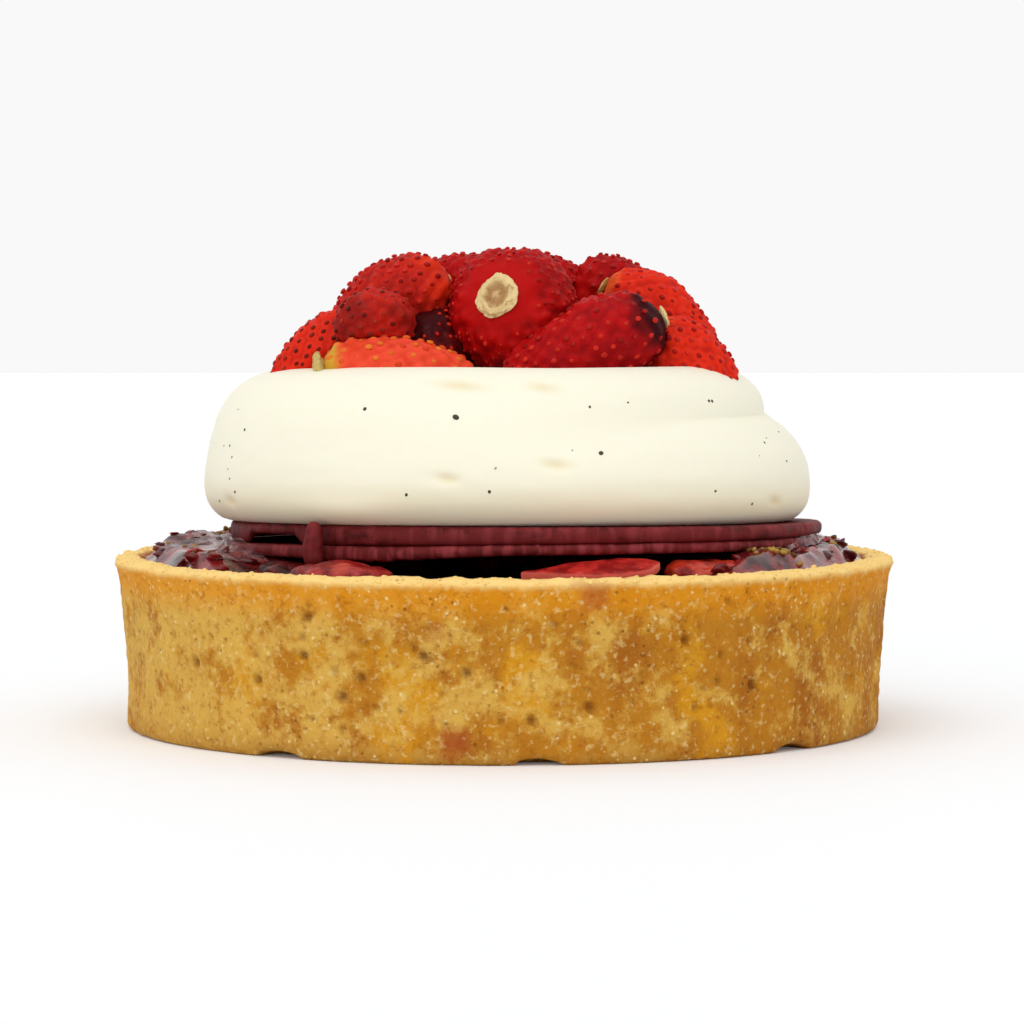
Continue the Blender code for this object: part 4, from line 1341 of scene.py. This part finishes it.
def berries() -> list[Berry]:
    """The heap. Lengths and widths are in metres."""
    rows = (
        ("berry_front_top", (1.3, -6.8, 49.0), (0.24, 0.92, -0.27),
         17.0, 15.6, 0.4, DEEP, RED, 2.6, 0.0, 0.85, -0.6),
        ("berry_front_right", (9.4, -14.0, 45.2), (-0.92, -0.1, -0.36),
         20.3, 10.4, 0.6, MAROON, RED, 1.3, 0.0, 1.1, -0.5),
        ("berry_front", (-12.2, -15.8, 41.9), (1.0, 0.1, 0.0),
         18.5, 9.4, 0.5, ORANGE, GOLDEN, 2.9, 0.7, 1.2, -0.42),
        ("berry_left_front", (-15.2, -12.3, 48.0), (-0.6, -0.7, -0.1),
         10.0, 8.2, 0.25, DULL, BROWN, 0.0, 0.0, 1.0, -0.6),
        ("berry_left", (-21.2, -7.7, 43.7), (-0.78, -0.15, -0.5),
         13.5, 9.6, 0.45, BRIGHT, BROWN, 0.0, 0.0, 0.9, -0.6),
        ("berry_left_top", (-13.0, -4.4, 50.8), (-0.9, -0.1, -0.35),
         14.5, 9.8, 0.35, DULL, RED, 0.5, 0.3, 1.0, -0.1),
        ("berry_right_top", (18.4, -2.6, 48.6), (0.85, -0.2, -0.5),
         15.5, 9.4, 0.4, BRIGHT, RED, 1.2, 0.9, 1.0, -0.6),
        ("berry_right", (21.8, -9.4, 43.2), (0.75, -0.2, -0.6),
         12.5, 9.4, 0.4, BRIGHT, RED, 0.0, 0.0, 1.0, -0.6),
        ("berry_top_left", (-5.5, 3.5, 52.2), (-0.9, 0.3, 0.05),
         13.0, 9.0, 0.4, DEEP, RED, 1.4, 0.0, 0.9, -0.6),
        ("berry_top", (4.0, 8.2, 52.1), (0.95, -0.1, 0.0),
         14.0, 9.4, 0.35, DEEP, RED, 1.5, 0.1, 1.0, -0.6),
        ("berry_top_right", (13.8, 5.4, 51.9), (0.9, 0.5, -0.25),
         11.0, 8.8, 0.35, DEEP, RED, 0.0, 0.0, 1.0, -0.6),
        ("berry_dark", (-7.7, -7.1, 44.6), (0.3, 0.5, -0.6),
         11.0, 10.0, 0.3, DARK, RED, 0.0, 0.0, 0.8, -0.6),
        ("berry_back_left_top", (-14.2, 10.3, 47.8), (-0.5, 0.7, -0.4),
         14.0, 10.0, 0.4, BRIGHT, RED, 1.3, 0.0, 1.0, -0.6),
        ("berry_back_top", (-1.7, 17.8, 48.5), (-0.3, 0.9, -0.4),
         14.0, 10.2, 0.4, DEEP, RED, 1.6, 0.0, 1.0, -0.6),
        ("berry_back_right_top", (11.2, 15.8, 49.2), (0.6, 0.7, -0.3),
         13.5, 10.2, 0.4, DULL, BROWN, 1.3, 0.2, 1.0, -0.6),
        ("berry_back_left", (-20.4, 3.6, 43.6), (-0.6, 0.6, -0.4),
         14.0, 10.6, 0.45, DEEP, RED, 1.5, 0.0, 1.0, -0.6),
        ("berry_back", (-9.5, 18.9, 42.1), (0.9, 0.2, -0.1),
         17.0, 10.8, 0.5, ORANGE, GOLDEN, 2.2, 0.7, 1.2, -0.5),
        ("berry_back_right", (7.9, 19.9, 41.6), (-0.9, 0.3, -0.2),
         15.0, 10.8, 0.45, MAROON, RED, 2.2, 0.0, 1.1, -0.6),
        ("berry_far_right", (20.8, 6.8, 43.6), (0.6, 0.7, -0.3),
         14.5, 10.8, 0.45, BRIGHT, BROWN, 1.5, 0.0, 1.0, -0.6),
        ("berry_inner_left", (-9.5, 4.4, 42.8), (0.5, 0.8, 0.1),
         14.0, 10.4, 0.4, DARK, RED, 0.0, 0.0, 1.0, -0.6),
        ("berry_inner_right", (11.1, 2.0, 43.0), (-0.4, 0.9, 0.1),
         14.5, 10.6, 0.4, DARK, RED, 0.0, 0.0, 1.0, -0.6),
        ("berry_heart", (-0.2, 4.7, 42.2), (0.1, 0.99, 0.0),
         15.0, 11.0, 0.4, DARK, RED, 0.0, 0.0, 1.0, -0.6),
    )
    made = []
    for node, middle, way, length, width, taper, ripeness, seeds, hull, green, scale, reach in rows:
        sizes = (length * MM, width * MM, taper)
        place = Vector(middle) * MM
        made.append(Berry(node, place, way, *sizes, ripeness, seeds, hull * MM, green, scale, reach))
    return made


@dataclass
class BerryHeap:
    """The heap of berries with their seeds and picked hulls."""

    skin_step: float = 0.3 * MM
    seed_spacing: float = 1.66 * MM
    mound: float = 0.44 * MM
    mound_width: float = 0.8 * MM
    press_gap: float = 0.12 * MM
    seed_size: tuple[float, float, float] = (0.37 * MM, 0.3 * MM, 0.19 * MM)
    crowd: list[Berry] = field(default_factory=berries)

    def seed_spots(self, berry: Berry, number: int) -> tuple[np.ndarray, np.ndarray]:
        """Share along the berry and angle of each seed: a spiral, as on a real berry, a little uneven."""
        rng = np.random.default_rng(300 + number)
        area = math.pi * berry.length * berry.width * 0.9
        count = int(area / ((self.seed_spacing * berry.seed_scale) ** 2 * 0.87))
        steps = np.arange(count)
        start = -0.93 if berry.hull_size == 0 else -0.84
        share = start + (0.97 - start) * (steps + 0.5) / count + rng.normal(0, 0.012, count)
        angle = steps * math.pi * (3 - math.sqrt(5)) + rng.normal(0, 0.06, count)
        return np.clip(share, start, 0.985), angle

    def pressed(self, points: np.ndarray, number: int) -> np.ndarray:
        """Move points that lie inside an earlier berry back until they clear it."""
        centre = self.crowd[number].centre()
        for other in self.crowd[:number]:
            if np.linalg.norm(other.centre() - centre) > (other.length + self.crowd[number].length) / 2:
                continue
            axes, middle = other.axes(), other.centre()
            for _ in range(14):
                local = (points - middle) @ axes
                share = np.clip(local[:, 2] / (other.length / 2 + self.press_gap), -1, 1)
                limit = other.half_width(share) + self.press_gap
                beside = np.hypot(local[:, 0], local[:, 1]) < limit
                within = beside & (np.abs(local[:, 2]) < other.length / 2)
                if not within.any():
                    break
                points[within] = centre + (points[within] - centre) * 0.965
        return points

    def build_berry(self, berry: Berry, number: int, material: bpy.types.Material) -> tuple[np.ndarray, ...]:
        """Make a berry's body. Gives its seeds' places, normals and the way along the berry."""
        segments = int(math.pi * berry.width / self.skin_step)
        piece = ball("skin_" + berry.node, segments, int(1.25 * berry.length / self.skin_step))
        grid = places(piece)
        share = np.clip(grid[:, 2], -1, 1)
        angle = np.arctan2(grid[:, 1], grid[:, 0])
        points = berry.skin(share, angle, number)
        seed_share, seed_angle = self.seed_spots(berry, number)
        seeds = berry.skin(seed_share, seed_angle, number)
        _, near = nearest(seeds, points)
        mound = np.exp(-((near / (self.mound_width * berry.seed_scale)) ** 2))
        move_to(piece, points)
        away = directions(piece)
        shrivel = 0.26 * MM * lumps(points, 2.2 * MM, 260 + number)
        shrivel = shrivel + 0.12 * MM * lumps(points, 0.9 * MM, 280 + number)
        points = points + away * (self.mound * berry.seed_scale * (mound - 0.45) + shrivel)[:, None]
        axes, centre = berry.axes(), berry.centre()
        points = self.pressed(points @ axes.T + centre, number)
        move_to(piece, points)
        paint(piece, "mound", mound)
        paint(piece, "hull", 1 - eased(-0.98, berry.hull_reach, share + 0.2 * lumps(points, 3 * MM, 290)))
        dress(piece, material, "berry", berry.node)
        nudge = 1e-3
        east = berry.skin(seed_share, seed_angle + nudge, number) - seeds
        north = berry.skin(seed_share + nudge, seed_angle, number) - seeds
        ups = np.cross(east, north)
        ups /= np.linalg.norm(ups, axis=1, keepdims=True)
        tops = (seeds + ups * self.mound * berry.seed_scale * 0.42) @ axes.T + centre
        clear = nearest(points, tops)[1] < 0.28 * MM
        scales = np.full(clear.sum(), berry.seed_scale)
        return tops[clear], (ups @ axes.T)[clear], (north @ axes.T)[clear], scales

    def build_seeds(self, found: dict[SeedKind, list[tuple[np.ndarray, ...]]]) -> None:
        """Join each kind of seed into one piece."""
        for kind, groups in found.items():
            tops, ups, alongs, scales = (np.concatenate(part) for part in zip(*groups))
            rng = np.random.default_rng(len(tops))
            sizes = np.array(self.seed_size) * rng.uniform(0.8, 1.15, (len(tops), 1)) * scales[:, None]
            frames = standing(tops, ups, alongs, sizes)
            tint = rng.uniform(0, 1, len(tops)) ** 1.3
            piece = scattered(kind.value.name, ball("seed", 8, 5), frames, tint=tint)
            dress(piece, kind.value.make(), "berry")

    def build_hulls(self) -> None:
        """Make the round scars where the berries were picked, in one piece."""
        button = ball("button", 56, 32)
        shape = places(button)
        across = np.hypot(shape[:, 0], shape[:, 1])
        ragged = 1 + 0.2 * lumps(shape, 0.55, 401) + 0.1 * lumps(shape, 0.2, 402)
        ring = np.exp(-(((across - 0.72) / 0.2) ** 2)) + 0.8 * np.exp(-((across / 0.24) ** 2))
        ring = ring * (1 + 0.35 * lumps(shape, 0.22, 403))
        top = np.where(shape[:, 2] > 0, 0.1 + 0.17 * ring, -0.3 * shape[:, 2] ** 2)
        top = top * np.where(across > 0.98, 0.4, 1)
        move_to(button, np.column_stack((shape[:, 0] * ragged, shape[:, 1] * ragged, top)))
        dip = np.clip(1.05 - ring, 0, 1) * (shape[:, 2] > 0) * (across < 0.8)
        crowd = [berry for berry in self.crowd if berry.hull_size]
        spots = np.array([berry.centre() - berry.axes()[:, 2] * berry.length * 0.49 for berry in crowd])
        ups = np.array([-berry.axes()[:, 2] for berry in crowd])
        sizes = np.array([[berry.hull_size, berry.hull_size * 0.85, berry.hull_size] for berry in crowd])
        frames = standing(spots, ups, np.tile([0.3, 0.2, 0.9], (len(crowd), 1)), sizes)
        tint = np.array([berry.hull_green for berry in crowd])
        piece = scattered("berry_hulls", button, frames, tint=tint)
        paint(piece, "dip", np.tile(dip, len(crowd)))
        dress(piece, HullFinish().make(), "berry")

    def build(self) -> None:
        """Make every berry, then the seeds and the hulls."""
        materials = {ripeness: ripeness.value.make() for ripeness in Ripeness}
        found: dict[SeedKind, list[tuple[np.ndarray, ...]]] = {kind: [] for kind in SeedKind}
        for number, berry in enumerate(self.crowd):
            found[berry.seeds].append(self.build_berry(berry, number, materials[berry.ripeness]))
        self.build_seeds(found)
        self.build_hulls()


# ---------------------------------------------------------------------------------------------------
# The studio
# ---------------------------------------------------------------------------------------------------


@dataclass
class Studio:
    """A white floor, soft white light and the camera, low in front of the tart."""

    distance: float = 450 * MM
    side: float = 1.0 * MM
    eye_height: float = 48.4 * MM
    pitch: float = math.radians(87.07)
    lens: float = 131.8
    floor_size: float = 6.0
    floor_white: str = "#F6F7F8"
    sky_light: float = 0.74
    sky_seen: float = 0.945
    floor_lift: float = 0.07
    sun: float = 1.08
    sun_spread: float = math.radians(75)
    sun_pitch: float = math.radians(38)
    sun_turn: float = math.radians(-14)

    def build_camera(self) -> None:
        """Place the camera."""
        place = (self.side, -self.distance, self.eye_height)
        bpy.ops.object.camera_add(location=place, rotation=(self.pitch, 0, 0))
        camera = bpy.context.active_object
        camera.data.lens = self.lens
        camera.data.clip_start = 0.01
        bpy.context.scene.camera = camera

    def build_floor(self) -> None:
        """Lay the floor, which looks a little brighter to the eye than the light it gives back."""
        bpy.ops.object.select_all(action="DESELECT")
        bpy.ops.mesh.primitive_plane_add(size=self.floor_size)
        floor = start_piece("floor")
        mix = Recipe("floor_white")
        seen = mix.node("ShaderNodeLightPath").outputs["Is Camera Ray"]
        material = mix.finish(
            Base_Color=srgb(self.floor_white),
            Roughness=0.7,
            Specular_IOR_Level=0.1,
            Emission_Color=mix.blend((0, 0, 0, 1), (1, 1, 1, 1), Signal(mix, seen)),
            Emission_Strength=self.floor_lift,
        )
        floor.data.materials.append(material)

    def build_sky(self) -> None:
        """Light everything evenly, and show plain white behind the tart."""
        world = bpy.data.worlds.new("studio_white")
        bpy.context.scene.world = world
        world.use_nodes = True
        nodes, links = world.node_tree.nodes, world.node_tree.links
        path = nodes.new("ShaderNodeLightPath")
        seen = nodes.new("ShaderNodeMath")
        seen.operation = "MAXIMUM"
        links.new(path.outputs["Is Camera Ray"], seen.inputs[0])
        links.new(path.outputs["Is Glossy Ray"], seen.inputs[1])
        through = nodes.new("ShaderNodeMath")
        through.operation = "MAXIMUM"
        links.new(seen.outputs[0], through.inputs[0])
        links.new(path.outputs["Is Transmission Ray"], through.inputs[1])
        level = nodes.new("ShaderNodeMapRange")
        level.inputs["To Min"].default_value = self.sky_light
        level.inputs["To Max"].default_value = self.sky_seen
        links.new(through.outputs[0], level.inputs["Value"])
        links.new(level.outputs[0], nodes["Background"].inputs["Strength"])
        nodes["Background"].inputs["Color"].default_value = (1, 1, 1, 1)

    def build_lamps(self) -> None:
        """Shine one broad soft lamp from above the front, from far off, so that the floor is lit evenly."""
        turned = (self.sun_pitch, 0, self.sun_turn)
        bpy.ops.object.light_add(type="SUN", location=(0, -0.4, 0.6), rotation=turned)
        lamp = bpy.context.active_object
        lamp.name = "lamp_broad"
        lamp.data.energy = self.sun
        lamp.data.angle = self.sun_spread

    def build(self) -> None:
        """Make the whole studio."""
        self.build_camera()
        self.build_floor()
        self.build_sky()
        self.build_lamps()
        bpy.context.scene.view_settings.view_transform = "Standard"


def main() -> None:
    """Load the model and build every class in order."""
    logging.basicConfig(level=logging.INFO, format="%(name)s: %(message)s")
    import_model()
    for part in (Studio(), PastryCase(), Compote(), FruitDiscs(), CreamRing(), BerryHeap()):
        part.build()
        LOG.info("%s done", type(part).__name__)


if __name__ == "__main__":
    main()
